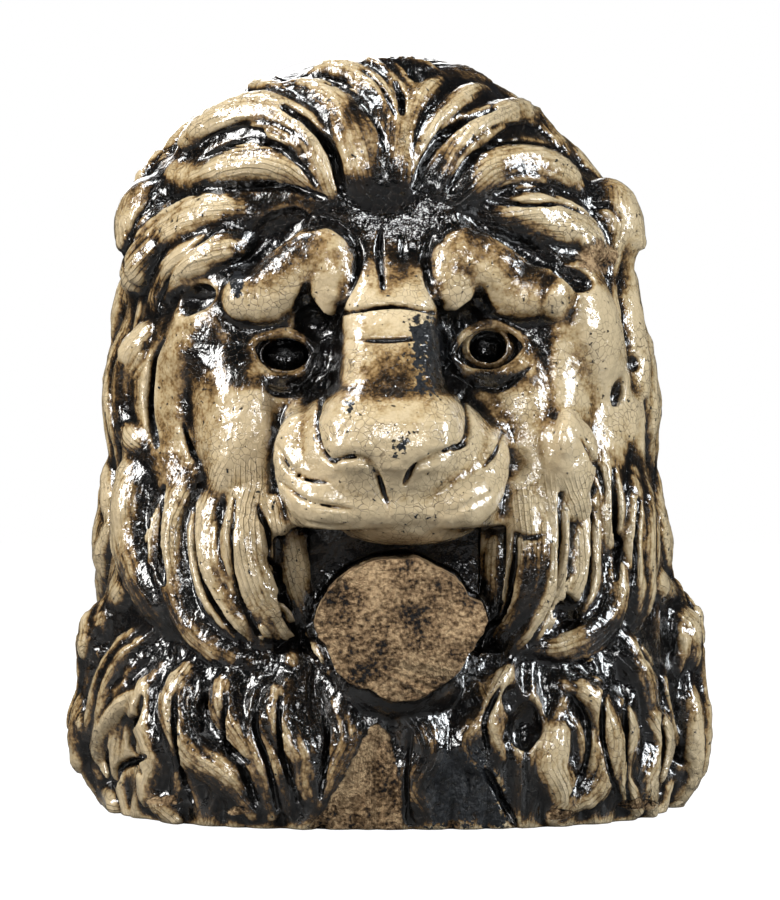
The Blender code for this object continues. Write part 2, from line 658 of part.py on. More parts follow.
def main():
    clear_scene()
    head = new_collection("architectural_lion_head")
    cutters = new_collection("cutters", hidden=True)

    cage = object_of("body", body_cage(), cutters)
    rounding = cage.modifiers.new("rounding", "SUBSURF")
    rounding.levels = rounding.render_levels = BODY_ROUNDING
    lump = bmesh.new()
    lump.from_mesh(evaluated_mesh(cage))
    bpy.data.objects.remove(cage, do_unlink=True)
    face_forms(lump)
    flesh = object_of("flesh", mesh_of(lump, "flesh"), cutters)
    fused(flesh, LUMP_VOXEL)
    cut(flesh, mouth_cutter(cutters))

    shape = bmesh.new()
    shape.from_mesh(flesh.data)
    strips = Strips(BVHTree.FromBMesh(shape))
    back_hair(strips)
    brows_and_lids(strips)
    crown_hair(strips)
    mane(strips)
    collar(strips)
    shape.from_mesh(strips.mesh())
    jaw_stub(shape)
    body = object_of("lion_head", mesh_of(shape, "lion_head"), head)
    fused(body, LOCK_VOXEL)
    worked = bmesh.new()
    worked.from_mesh(body.data)
    cut(body, carving_cutter(cutters, BVHTree.FromBMesh(worked)))
    worked.free()
    fused(body, LOCK_VOXEL)
    thinned(body)
    cut(body, below_cutter(cutters))
    centred(body)
    body.data.materials.append(glaze())
    body.data.shade_smooth()


main()
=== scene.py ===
import math

import bpy
import numpy as np
import openvdb
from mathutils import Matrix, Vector, kdtree


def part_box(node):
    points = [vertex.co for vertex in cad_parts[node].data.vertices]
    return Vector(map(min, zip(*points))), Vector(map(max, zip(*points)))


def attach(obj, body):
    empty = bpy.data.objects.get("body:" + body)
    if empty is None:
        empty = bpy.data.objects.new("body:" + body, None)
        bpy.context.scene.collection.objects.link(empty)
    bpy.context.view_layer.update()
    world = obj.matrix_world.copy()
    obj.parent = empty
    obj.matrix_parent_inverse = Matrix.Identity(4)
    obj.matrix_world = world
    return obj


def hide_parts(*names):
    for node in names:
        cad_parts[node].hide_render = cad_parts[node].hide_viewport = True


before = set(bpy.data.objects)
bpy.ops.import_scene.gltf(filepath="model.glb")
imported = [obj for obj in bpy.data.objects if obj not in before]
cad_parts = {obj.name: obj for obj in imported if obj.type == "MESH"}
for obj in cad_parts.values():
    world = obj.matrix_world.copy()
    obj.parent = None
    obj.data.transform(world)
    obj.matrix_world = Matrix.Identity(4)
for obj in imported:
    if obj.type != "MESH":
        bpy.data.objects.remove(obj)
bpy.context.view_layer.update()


# The studio
# A pale table under soft light, seen from the height of the lion's nose. Tall soft boxes stand on
# both sides of the head, and smaller ones over the crown, behind the viewer and behind the head.

VIEW_DISTANCE = 1.6
VIEW_HEIGHT = 0.202
VIEW_LENS = 128.0
VIEW_DROP_DEGREES = 0.36
HEAD_LOW, HEAD_HIGH = (Vector(corner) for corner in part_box("lion_head"))
FLOOR_RADIUS = 4.0
SOFT_BOXES = (
    ("left_box", (-1.2, -0.8, 1.0), 0.22, (0.42, 1.0), 28, (1.0, 0.99, 0.97)),
    ("right_box", (1.25, -0.65, 0.85), 0.22, (0.34, 1.0), 24, (0.93, 0.97, 1.0)),
    ("crown_box", (-0.5, 0.05, 1.5), 0.3, (0.4, 0.3), 9, (0.95, 0.98, 1.0)),
    ("front_box", (0.15, -2.3, 1.0), 0.2, (0.6, 0.4), 11, (1.0, 1.0, 1.0)),
    ("back_box", (-0.3, 1.6, 1.0), 0.2, (0.9, 0.9), 9, (1.0, 1.0, 1.0)),
)

for name, place, aim_height, (width, height), watts, colour in SOFT_BOXES:
    light = bpy.data.lights.new(name, "AREA")
    light.shape = "RECTANGLE"
    light.size = width
    light.size_y = height
    light.energy = watts
    light.color = colour
    lamp = bpy.data.objects.new(name, light)
    bpy.context.scene.collection.objects.link(lamp)
    lamp.location = place
    way = Vector((0, 0, aim_height)) - Vector(place)
    lamp.rotation_euler = way.to_track_quat("-Z", "Y").to_euler()

world = bpy.data.worlds.new("studio")
bpy.context.scene.world = world
world.use_nodes = True
nodes, links = world.node_tree.nodes, world.node_tree.links
nodes.clear()
ray = nodes.new("ShaderNodeLightPath")
mix = nodes.new("ShaderNodeMixShader")
out = nodes.new("ShaderNodeOutputWorld")
links.new(ray.outputs["Is Camera Ray"], mix.inputs["Fac"])
links.new(mix.outputs["Shader"], out.inputs["Surface"])
for socket, colour, strength in ((1, (0.9, 0.93, 1.0, 1.0), 0.025), (2, (1.0, 1.0, 1.0, 1.0), 1.0)):
    sky = nodes.new("ShaderNodeBackground")
    sky.inputs["Color"].default_value = colour
    sky.inputs["Strength"].default_value = strength
    links.new(sky.outputs["Background"], mix.inputs[socket])

bpy.ops.mesh.primitive_circle_add(
    vertices=96, radius=FLOOR_RADIUS, fill_type="NGON", location=(0, 0, HEAD_LOW.z)
)
floor = bpy.context.object
floor.name = "floor"
floor_paint = bpy.data.materials.new("pale_table")
floor_paint.use_nodes = True
shader = floor_paint.node_tree.nodes["Principled BSDF"]
shader.inputs["Base Color"].default_value = (0.08, 0.08, 0.08, 1.0)
shader.inputs["Roughness"].default_value = 0.6
shader.inputs["Emission Color"].default_value = (1.0, 1.0, 1.0, 1.0)
ray = floor_paint.node_tree.nodes.new("ShaderNodeLightPath")
floor_paint.node_tree.links.new(ray.outputs["Is Camera Ray"], shader.inputs["Emission Strength"])
floor.data.materials.append(floor_paint)

camera_data = bpy.data.cameras.new("viewer")
camera_data.lens = VIEW_LENS
camera_data.clip_end = 50.0
camera = bpy.data.objects.new("viewer", camera_data)
bpy.context.scene.collection.objects.link(camera)
camera.rotation_euler = (math.radians(90 - VIEW_DROP_DEGREES), 0, 0)
bpy.context.scene.camera = camera
bpy.context.scene.view_settings.view_transform = "Standard"


# The bare head
# The head is modelled by hand in clay before its hair goes on: a rounded block that stands on its
# base, wider at the foot. It is laid out in drawn millimetres, with the front towards the viewer.

SHEET_Y = -130.0
EYE_POINT = np.array([0.0, SHEET_Y - 1000 * VIEW_DISTANCE, 1000 * VIEW_HEIGHT])
GRAIN = 1.15
CLAY_LOW = np.array([-186.0, -182.0, -6.0])
CLAY_HIGH = np.array([186.0, 150.0, 416.0])
FAR = 40.0
BODY_SECTIONS = (
    (-14.0, 0.0, 150.0, -122.0, 122.0),
    (20.0, 0.0, 152.0, -125.0, 126.0),
    (55.0, -1.5, 155.5, -124.0, 128.0),
    (105.0, -1.5, 152.0, -112.0, 122.0),
    (160.0, -2.5, 141.5, -98.0, 116.0),
    (205.0, -4.0, 141.0, -94.0, 112.0),
    (250.0, -5.0, 138.0, -92.0, 109.0),
    (290.0, -3.5, 131.0, -90.0, 104.0),
    (318.0, -6.0, 123.0, -88.0, 99.0),
    (346.0, -10.0, 109.0, -82.0, 94.0),
    (367.0, -15.0, 93.0, -70.0, 84.0),
    (383.0, -11.0, 73.0, -57.0, 68.0),
    (395.0, -6.0, 54.0, -42.0, 50.0),
    (401.0, -2.0, 31.0, -24.0, 30.0),
    (402.5, 0.0, 4.0, -2.0, 8.0),
)
BODY_SQUARENESS = 2.6
BODY_STEPS = 60
SOFT_JOIN = 6.0
ARC_MM = 2.3
PATH_STEPS = 14
BEND_STEPS = 16
RAY_STEP = 1.5
ROUND_START = 215.0
FRONT_REACH = 300.0
LOCK_JOIN = 2.0
RIB_PITCH = 18.0
RIB_DEPTH = 3.4
RIB_SWAY = 0.34
FINE_RIBS = 5.0
FINE_DEPTH = 0.5
TIP_SINK = 4.5
LOCK_SWAY = 1.9


class Clay:
    """A block of clay as a field of distances to its skin, in drawn millimetres, on an even grid."""

    def __init__(self, low, high, grain):
        self.low = low
        self.grain = grain
        self.shape = tuple(int(n) for n in np.ceil((high - low) / grain) + 1)
        self.axes = [
            (low[k] + grain * np.arange(self.shape[k])).astype(np.float32) for k in range(3)
        ]
        self.field = np.full(self.shape, FAR, np.float32)

    def window(self, low, high):
        """The slices of the grid that cover a box, and the grid's lines within it."""
        spans, lines = [], []
        for k in range(3):
            first = min(max(0, int((low[k] - self.low[k]) / self.grain)), self.shape[k])
            last = min(self.shape[k], int((high[k] - self.low[k]) / self.grain) + 2)
            spans.append(slice(first, max(first, last)))
            shape = [1, 1, 1]
            shape[k] = -1
            lines.append(self.axes[k][first : max(first, last)].reshape(shape))
        return tuple(spans), lines

    def join(self, spans, distance, soft):
        """Clay added, with its seam smoothed over a few millimetres."""
        here = self.field[spans]
        share = np.clip(0.5 + 0.5 * (here - distance) / soft, 0, 1)
        self.field[spans] = here + (distance - here) * share - soft * share * (1 - share)

    def cut(self, spans, distance, soft):
        """Clay taken away where the distance is below nought."""
        here = self.field[spans]
        share = np.clip(0.5 - 0.5 * (here + distance) / soft, 0, 1)
        self.field[spans] = here + (-distance - here) * share + soft * share * (1 - share)

    def read(self, points, field=None):
        """The field at any points, between the grid's own."""
        field = self.field if field is None else field
        place = (np.asarray(points, float) - self.low) / self.grain
        whole = np.clip(np.floor(place).astype(int), 0, np.array(field.shape) - 2)
        part = np.clip(place - whole, 0, 1)
        total = 0
        for corner in range(8):
            step = np.array([corner & 1, corner >> 1 & 1, corner >> 2 & 1])
            weight = np.prod(np.where(step, part, 1 - part), axis=-1)
            spot = whole + step
            total = total + weight * field[spot[..., 0], spot[..., 1], spot[..., 2]]
        return total

    def normal(self, points, reach=3.0):
        """The way out of the clay at any points."""
        slopes = [
            self.read(points + reach * unit) - self.read(points - reach * unit)
            for unit in np.eye(3)
        ]
        slopes = np.stack(slopes, axis=-1)
        return slopes / np.maximum(np.linalg.norm(slopes, axis=-1, keepdims=True), 1e-6)


def curve_through(knots, steps=PATH_STEPS):
    """Evenly spaced points on a smooth curve through the knots."""
    knots = np.array(knots, float)
    padded = np.vstack([2 * knots[0] - knots[1], knots, 2 * knots[-1] - knots[-2]])
    spots = []
    for first in range(len(knots) - 1):
        a, b, c, d = padded[first : first + 4]
        for t in np.linspace(0, 1, BEND_STEPS, endpoint=False):
            spots.append(
                b + 0.5 * t * (c - a + t * (2 * a - 5 * b + 4 * c - d + t * (3 * b - a - 3 * c + d)))
            )
    spots = np.array(spots + [knots[-1]])
    length = np.concatenate([[0], np.cumsum(np.linalg.norm(np.diff(spots, axis=0), axis=1))])
    even = np.linspace(0, length[-1], steps)
    return np.stack([np.interp(even, length, column) for column in spots.T], axis=-1)


def first_skin(clay, starts, rays, reach):
    """Where rays first meet the clay; those that pass it by are drawn in onto its edge."""
    far = np.arange(0.0, reach, RAY_STEP)
    rays = rays / np.linalg.norm(rays, axis=-1, keepdims=True)
    spots = starts[:, None, :] + rays[:, None, :] * far[None, :, None]
    found = clay.read(spots)
    inside = found < 0
    hit = np.where(inside.any(axis=1), inside.argmax(axis=1), found.argmin(axis=1))
    rows = np.arange(len(rays))
    before = np.maximum(hit - 1, 0)
    near, past = found[rows, before], found[rows, hit]
    share = np.where(near > past, np.clip(near / np.maximum(near - past, 1e-6), 0, 1), 1)
    points = starts + rays * (far[before] + (far[hit] - far[before]) * share)[:, None]
    gap = np.maximum(clay.read(points), 0)
    return points - clay.normal(points) * gap[:, None]


def on_front(clay, flat):
    """Drawn points laid on the clay, as the viewer sees them."""
    sheet = np.stack([flat[:, 0], np.full(len(flat), SHEET_Y), flat[:, 1]], axis=-1)
    rays = sheet - EYE_POINT
    starts = EYE_POINT + rays * (CLAY_LOW[1] - EYE_POINT[1]) / (SHEET_Y - EYE_POINT[1])
    return first_skin(clay, starts, rays, FRONT_REACH)


def on_round(clay, flat):
    """Points by their way round the head and their height, laid on the clay."""
    angle = np.radians(flat[:, 0] / ARC_MM)
    outward = np.stack([np.sin(angle), -np.cos(angle), np.zeros(len(flat))], axis=-1)
    starts = outward * ROUND_START + np.array([0, 0, 1]) * flat[:, 1:2]
    return first_skin(clay, starts, -outward, ROUND_START - 1)


def egg_distance(lines, centre, radii, lean):
    """Distances to an egg shape that leans by an angle in the front view."""
    turn = math.radians(lean)
    x, y, z = (line - middle for line, middle in zip(lines, centre))
    across = x * math.cos(turn) - z * math.sin(turn)
    up = x * math.sin(turn) + z * math.cos(turn)
    inner = np.sqrt((across / radii[0]) ** 2 + (y / radii[1]) ** 2 + (up / radii[2]) ** 2)
    outer = np.sqrt(
        (across / radii[0] ** 2) ** 2 + (y / radii[1] ** 2) ** 2 + (up / radii[2] ** 2) ** 2
    )
    return (inner * (inner - 1) / np.maximum(outer, 1e-6)).astype(np.float32)


def swell(clay, centre, radii, lean=0.0, soft=SOFT_JOIN, remove=False):
    """An egg of clay added, or taken away."""
    reach = max(radii) + soft + 3
    spans, lines = clay.window(np.array(centre) - reach, np.array(centre) + reach)
    distance = egg_distance(lines, centre, radii, lean)
    (clay.cut if remove else clay.join)(spans, distance, soft)


def swell_pair(clay, centre, radii, lean=0.0, soft=SOFT_JOIN):
    for side in (-1, 1):
        swell(clay, (side * centre[0], centre[1], centre[2]), radii, side * lean, soft)


def tube_distance(lines, points, radii, normals, flatten, ribs, sway):
    """Distances to a roll through the points, pressed flat along the normals, ribbed like hair."""
    best = None
    press = 1 / flatten**2 - 1
    count = len(points) - 1
    for number in range(count):
        a, wide, normal = points[number], radii[number], normals[number]
        run = points[number + 1] - a
        steep = max(float(run @ run), 1e-6)
        x, y, z = (line - start for line, start in zip(lines, a))
        share = np.clip((x * run[0] + y * run[1] + z * run[2]) / steep, 0, 1)
        x, y, z = (line - share * step for line, step in zip((x, y, z), run))
        square = x * x + y * y + z * z
        if press:
            square = square + press * (x * normal[0] + y * normal[1] + z * normal[2]) ** 2
        distance = np.sqrt(square) - (wide + share * (radii[number + 1] - wide))
        if ribs:
            side = np.cross(normal, run)
            side = side / max(float(np.linalg.norm(side)), 1e-6)
            across = (x * side[0] + y * side[1] + z * side[2]) / max(wide, 1.0)
            across = across + RIB_SWAY * np.sin(sway + 0.5 * (number + share))
            along = (number + share) / count
            relief = np.clip(4 * along * (1 - along) + 0.15, 0, 1)
            broad = 0.5 + 0.5 * np.cos(math.pi * (ribs * across + ribs + 1))
            fine = np.cos(math.pi * FINE_RIBS * ribs * across)
            distance = distance - relief * (RIB_DEPTH * broad + FINE_DEPTH * fine)
        best = distance if best is None else np.minimum(best, distance)
    return best.astype(np.float32) * (flatten if press else 1.0)


def roll(
    clay, points, radii, normals=None, flatten=1.0, soft=LOCK_JOIN, remove=False, ribs=0, sway=0.0
):
    """A roll of clay added, or taken away."""
    if normals is None:
        normals, flatten = np.zeros_like(points), 1.0
    margin = max(radii) + soft + 3
    spans, lines = clay.window(points.min(axis=0) - margin, points.max(axis=0) + margin)
    lines = [line.astype(np.float32) for line in lines]
    distance = tube_distance(
        lines, points, radii, normals.astype(np.float32), flatten, ribs, sway
    ).astype(np.float32)
    (clay.cut if remove else clay.join)(spans, distance, soft)


class Tools:
    """The modeller's hands: strips of clay laid on the skin, and furrows drawn in it."""

    def __init__(self, clay):
        self.clay = clay
        self.strands = []
        self.settle()

    def settle(self):
        """Strips laid from here on are placed by the skin as it is now."""
        self.skin = Clay(CLAY_LOW, CLAY_HIGH, GRAIN)
        self.skin.field = self.clay.field.copy()

    def lay(
        self, knots, widths, lift=2.0, flatten=0.7, place=on_front, soft=LOCK_JOIN, sink=3.0,
        combed=True, tip_sink=TIP_SINK,
    ):
        """A strip of the given widths from root to tip, its root sunk in the skin."""
        points = place(self.skin, curve_through(knots))
        normals = self.skin.normal(points, 6.0)
        along = np.linspace(0, 1, len(points))
        radii = np.interp(along, np.linspace(0, 1, len(widths)), widths) / 2
        rise = lift - sink * np.clip(1 - along / 0.25, 0, 1)
        if combed:
            rise = rise - tip_sink * np.clip(4 * along - 3, 0, 1)
        ribs = max(1, round(2 * max(radii) / RIB_PITCH)) if combed else 0
        points = points + normals * rise[:, None]
        sway = LOCK_SWAY * len(self.strands)
        roll(self.clay, points, radii, normals, flatten, soft, ribs=ribs, sway=sway)
        if combed:
            self.strands.append((points, radii, normals))

    def furrow(
        self, knots, width, deep=0.0, ends=0.35, place=on_front, soft=1.2, skin=None, widths=None
    ):
        """A groove with its middle sunk below the skin by some millimetres."""
        clay = self.clay if skin is None else skin
        points = place(clay, curve_through(knots))
        normals = clay.normal(points, 4.0)
        along = np.linspace(0, 1, len(points))
        if widths is None:
            radii = width / 2 * (ends + (1 - ends) * np.sin(np.pi * along) ** 0.7)
        else:
            radii = np.interp(along, np.linspace(0, 1, len(widths)), widths) / 2
        sunk = deep * np.sin(np.pi * np.clip(along, 0.08, 0.92))
        roll(self.clay, points - normals * sunk[:, None], radii, soft=soft, remove=True)

    def slit(self, knots, width, depth, ends=0.5, place=on_front):
        """A deep narrow cut: several grooves one under the other."""
        layers = max(2, int(depth / (width * 0.4)))
        skin = Clay(CLAY_LOW, CLAY_HIGH, GRAIN)
        skin.field = self.clay.field.copy()
        for layer in range(layers):
            share = layer / (layers - 1)
            self.furrow(knots, width * (1 - 0.4 * share), depth * share, ends, place, 1.0, skin)

    def dimple(self, spot, radii, lean=0.0, deep=0.0, soft=2.5, remove=True):
        """A hollow sunk below the skin, or a mound when nothing is removed."""
        middle = on_front(self.clay, np.array([spot], float))[0]
        middle = middle - self.clay.normal(middle[None])[0] * deep
        swell(self.clay, middle, radii, lean, soft, remove)


def loft_distance(lines, sections, squareness):
    """Distances to an upright form by its sections: height, middle, half width, front and back."""
    x, y, z = lines
    table = np.array(sections, float)
    flat = z.ravel()
    middle, half_width, front, back = (
        np.interp(flat, table[:, 0], table[:, k]).astype(np.float32).reshape(z.shape)
        for k in (1, 2, 3, 4)
    )
    depth = np.maximum((back - front) / 2, 1.0)
    half_width = np.maximum(half_width, 1.0)
    across = (np.abs(x - middle) / half_width) ** squareness
    along = (np.abs(y - (front + back) / 2) / depth) ** squareness
    distance = ((across + along) ** (1 / squareness) - 1) * np.minimum(half_width, depth)
    ends = np.maximum(table[0, 0] - z, z - table[-1, 0])
    return np.maximum(distance, ends).astype(np.float32)


head = Clay(CLAY_LOW, CLAY_HIGH, GRAIN)
spans, lines = head.window(CLAY_LOW, CLAY_HIGH)
head.field = loft_distance(lines, curve_through(BODY_SECTIONS, BODY_STEPS), BODY_SQUARENESS)


# The face
# Brow, cheeks and muzzle are built up on the front, then cut: thick comma brows over plain round
# eye holes, a broad flat nose with two creases across it, and a muzzle with a straight lip.

NOSE_SECTIONS = (
    (170.0, 0.5, 14.0, -146.0, -70.0),
    (176.0, 0.5, 27.0, -156.0, -70.0),
    (183.0, 0.5, 35.0, -163.0, -70.0),
    (194.0, 0.5, 38.5, -166.0, -70.0),
    (206.0, 0.5, 38.5, -163.0, -70.0),
    (215.0, 0.5, 35.5, -156.0, -70.0),
    (223.0, 0.2, 29.0, -147.0, -70.0),
    (232.0, 0.0, 26.5, -140.0, -70.0),
    (250.0, 0.0, 25.5, -129.0, -70.0),
    (263.0, 0.0, 24.5, -120.0, -70.0),
    (276.0, 0.0, 23.0, -109.0, -70.0),
    (292.0, 0.0, 20.0, -92.0, -70.0),
)
NOSE_SQUARENESS = 3.6
LIP_HEIGHT = 151.5
LIP_BEND = 0.00055
LIP_HALF = 60.0
LIP_BACK_Y = -100.0
MOUTH_BOX = ((-43, 47), (-220, -84), (96, LIP_HEIGHT))
MOUTH_SOFT = 2.0
EYE_LAYERS = 8
EYE_START = -4.0
EYE_STEP = 4.5
JAW_CENTRE = (4.0, 101.0)
JAW_RADII = (46.5, 37.5)
JAW_FACE_Y = -149.0
JAW_BACK_Y = -80.0

hands = Tools(head)
lay, slit, furrow, dimple = hands.lay, hands.slit, hands.furrow, hands.dimple
swell(head, (0, -45, 248), (84, 54, 70), soft=14)
swell_pair(head, (84, -60, 258), (28, 30, 42), soft=14)
swell_pair(head, (66, -70, 205), (33, 34, 50), soft=12)
swell_pair(head, (64, -82, 132), (34, 34, 56), soft=12)
swell_pair(head, (104, -50, 140), (30, 34, 62), soft=14)
hands.settle()

for knots, widths in (
    (((-74, 267.5), (-63, 269.5), (-50, 281.5), (-35, 289.5), (-30, 277.5), (-33.5, 261.5)),
     (24, 31, 30, 31, 26, 13)),
    (((78.5, 270.5), (64, 272.5), (51, 282), (37.5, 288), (32, 276.5), (36, 263.5)),
     (26, 32, 33, 33, 27, 13)),
):
    lay(knots, widths, 1.5, flatten=0.72, sink=0, soft=4, combed=False)
dimple((-63, 298.5), (25, 8, 11), lean=-30)
furrow(((40, 310.5), (56, 301), (70, 291.5), (84, 284.5)), 14, deep=-2, ends=0.6, soft=3)

for middle, wide, tall in (((-53.5, 239), 19, 15), ((50.5, 243), 20, 15.5)):
    spot = on_front(hands.skin, np.array([middle], float))[0]
    swell(head, spot + np.array([0, 2, 0]), (wide, 11, tall), soft=3, remove=True)
    swell(head, spot + np.array([0, 15, 0]), (wide * 0.86, 15, tall * 0.86), soft=2)
for spot, radii, lean in (
    ((-35, 253.5), (9, 7, 8), 0), ((-32.5, 242.5), (7, 12, 15), 8), ((32, 254.5), (9, 7, 8), 0),
    ((26, 244.5), (6, 12, 15), -8), ((-35, 226.5), (8, 7, 8), -30),
    ((29, 228.5), (8, 7, 8), 30),
):
    dimple(spot, radii, lean, deep=1)
for knots in (
    ((-43, 274), (-43, 268), (-41.5, 262), (-39, 255.5)),
    ((46.5, 274), (46, 268), (43.5, 262), (39.5, 256)),
):
    furrow(knots, 0, -2.0, soft=3, widths=(3, 8, 14, 20))
for knots in (
    ((-72.5, 244), (-66, 249), (-54, 251), (-44, 247.5), (-39, 241.5)),
    ((-72.5, 243.5), (-67, 234), (-55.5, 228), (-44, 231.5), (-38.5, 240.5)),
    ((31.5, 240.5), (38.5, 250.5), (51, 255.5), (63, 252), (70, 245)),
    ((31.5, 239.5), (37.5, 233), (50.5, 229.5), (62.5, 234.5), (70, 244)),
):
    lay(knots, (3.5, 5, 5.5, 5, 3.5), -1.0, flatten=1.0, sink=0, soft=1.2, combed=False)
for middle, wide, tall in (((-53.5, 240), 12.6, 8.5), ((50, 244), 10.2, 8.6)):
    spot = on_front(hands.skin, np.array([middle], float))[0]
    for deep in EYE_START + EYE_STEP * np.arange(EYE_LAYERS):
        swell(head, spot + np.array([0, deep, 0]), (wide, 6, tall), soft=1, remove=True)
slit(((-74, 236.5), (-63, 223), (-48, 221), (-33, 232.5)), 5, 5)
slit(((31, 230.5), (42, 223.5), (57, 223.5), (71, 233.5)), 5, 5)
furrow(((-76, 247.5), (-83, 250.5), (-90, 250.5)), 4)

swell(head, (-1, -106, 186), (58, 54, 42), soft=6)
swell(head, (-32, -110, 165), (22, 36, 20), soft=7)
swell(head, (34, -110, 166), (22, 36, 20), soft=7)
spans, lines = head.window(np.array([-60, -180, 165]), np.array([60, -50, 312]))
head.join(spans, loft_distance(lines, NOSE_SECTIONS, NOSE_SQUARENESS), 3.5)
hands.settle()
for knots in (
    ((-44.5, 216.5), (-51.5, 201.5), (-52, 184.5), (-44, 168.5), (-24, 159), (-1, 158.5)),
    ((45.5, 217.5), (53.5, 202.5), (54, 185.5), (46, 168.5), (26, 159), (3, 158.5)),
):
    lay(knots, (13, 20, 25, 27, 26, 20), -3, flatten=0.8, sink=0, soft=3, combed=False)
for spot, radii in (
    ((-70.5, 182.5), (20, 12, 26)), ((70, 176.5), (24, 12, 28)), ((89, 182.5), (20, 11, 26)),
):
    dimple(spot, radii, deep=8.5, soft=8, remove=False)
spans, lines = head.window(np.array([-75, -190, 90]), np.array([75, -95, 156]))
x, y, z = lines
lip = np.maximum(np.maximum(z - LIP_HEIGHT - LIP_BEND * x * x, np.abs(x) - LIP_HALF), y - LIP_BACK_Y)
head.cut(spans, lip.astype(np.float32), MOUTH_SOFT)

slit(((-35, 218.5), (-37.5, 205), (-35, 191.5), (-29, 184.5)), 6, 7)
slit(((37, 218.5), (40, 207.5), (39, 197.5), (34, 191.5)), 6, 7)
slit(((-29, 186.5), (-18, 188), (-10, 185), (-5.5, 176.5), (-2, 166)), 4.5, 5)
slit(((38, 195.5), (29, 190.5), (20, 186.5), (12, 182.5), (7.5, 174.5)), 5.5, 6)
slit(((-58, 194), (-52.5, 184), (-44, 178.5), (-33, 175.5)), 4, 4)
slit(((-56, 175.5), (-46, 168), (-34, 164), (-19, 162)), 3.5, 3.5)
furrow(((-46, 156.5), (-31.5, 153.5), (-18, 153.5)), 2.2, 0.5)
slit(((57.5, 201.5), (55, 192.5), (48, 183.5)), 3.2, 2.6)
furrow(((56, 174.5), (48.5, 167.5), (37, 163.5)), 2.5)
furrow(((21, 160.5), (33.5, 161), (42, 166.5)), 2)
furrow(((-1.5, 168.5), (-1, 162.5), (-1.5, 156.5)), 2.4)
slit(((-26, 260.5), (-14, 263), (0, 264.5), (12, 263.5), (23, 261)), 4, 5)
furrow(((-22, 248), (-4, 247), (18, 248.5)), 2.4, 0.8)
slit(((-5, 301), (-5.5, 288.5), (-3.5, 273.5)), 4.5, 5)
furrow(((6, 301.5), (7, 286.5)), 3)
slit(((-18, 299.5), (-15.5, 286.5), (-22, 268.5), (-30, 251.5)), 4, 4)
slit(((21, 299.5), (18, 286.5), (22, 269.5), (29, 254.5)), 5, 5)
furrow(((-50, 305.5), (-37, 310), (-23, 304.5), (-15.5, 290.5)), 2.6, 0.6)
furrow(((-44, 302), (-31, 304), (-21.5, 297.5)), 2.6, 0.6)

spans, lines = head.window(
    np.array([side[0] - 6 for side in MOUTH_BOX]), np.array([side[1] + 6 for side in MOUTH_BOX])
)
gaps = [np.maximum(low - line, line - high) for line, (low, high) in zip(lines, MOUTH_BOX)]
head.cut(spans, np.maximum(np.maximum(gaps[0], gaps[1]), gaps[2]).astype(np.float32), MOUTH_SOFT)
swell(head, (9, -118, 153), (34, 30, 9.5), soft=3)


# The crown
# Over the brow a tall forelock fans out and falls back; on each side of it broad leaf-shaped locks
# arch down to the ears.

CROWN_FULLNESS = 1.12
hands.settle()
for knots, widths, lift in (
    (((-44, 361.5), (-63, 373.5), (-74, 373.5)), (12, 14, 9), 1.0),
    (((0, 328.5), (2, 352.5), (4, 372.5)), (34, 36, 20), -2.0),
    (((24, 382.5), (6, 384.5), (-11, 382.5)), (10, 15, 9), 0.0),
    (((-31, 325.5), (-37.5, 342.5), (-49, 354.5), (-64, 361), (-81, 359), (-96.5, 351), (-108, 337.5)),
     (15, 17, 19, 20, 19, 17, 10), 3.5),
    (((-38, 323), (-49, 331), (-64, 335.5), (-79, 334.5), (-93, 330), (-102, 326)),
     (12, 14, 15, 15, 13, 8), 2.0),
    (((-12, 329.5), (-17.5, 346.5), (-28.5, 361.5), (-44, 370.5), (-56, 370.5)), (21, 23, 20, 15, 8), 4.0),
    (((0.5, 344.5), (-2.5, 361.5), (-13, 375), (-27, 381), (-41, 380.5)), (12, 13, 14, 13, 8), 3.5),
    (((5.5, 359.5), (2, 373.5), (-5, 381.5), (-15, 384.5)), (8, 9, 8, 5), 3.5),
    (((7.5, 331.5), (10.5, 351.5), (15.5, 367.5), (25, 378.5)), (16, 15, 14, 8), 3.5),
    (((13, 337.5), (26, 357.5), (39, 368.5), (48, 372.5)), (11, 13, 13, 10), 3.5),
    (((25, 325.5), (33.5, 341.5), (46, 354), (61, 360), (76.5, 355.5), (89, 343.5), (100.5, 331.5)),
     (12, 14, 16, 16, 15, 12, 7), 3.0),
    (((39, 322.5), (53, 332), (71, 334), (86.5, 330.5), (97.5, 320.5)), (13, 18, 20, 18, 10), 3.0),
    (((59, 309.5), (76, 308.5), (94, 302.5), (108, 289.5)), (16, 23, 24, 16), 1.5),
    (((84, 301.5), (95, 297.5), (101, 287.5)), (6, 8, 6), 6.5),
):
    lay(knots, CROWN_FULLNESS * np.array(widths), lift, flatten=0.5, soft=3)
slit(((-24.5, 322.5), (-29.5, 341.5), (-40.5, 356.5), (-54, 365)), 6.5, 10, 0.8)
slit(((-38, 325.5), (-47, 337.5), (-60, 346), (-74, 347.5), (-87, 343.5), (-99, 336)), 4.5, 4.5)
slit(((-33, 318.5), (-49, 323), (-66, 324), (-83, 322.5)), 4, 5)
slit(((13, 324.5), (19, 339.5), (32, 354.5), (53, 364.5)), 6, 8, 0.8)
slit(((30, 322.5), (40, 337.5), (52, 344.5), (72, 346.5), (89, 342.5)), 4, 5)
slit(((52, 317.5), (70, 316), (86, 316.5), (99, 311.5)), 5, 6)
slit(((-2, 342.5), (-8, 358), (-21, 372), (-33, 376.5)), 3.5, 4)
slit(((2.5, 360.5), (-4, 374.5), (-15, 384)), 3, 3)
slit(((6, 361.5), (5.5, 370.5), (3, 377.5)), 5, 7)
furrow(((11, 342.5), (18, 360.5), (30, 374.5)), 3)
furrow(((18.5, 344.5), (33.5, 360.5), (50, 368.5)), 3)
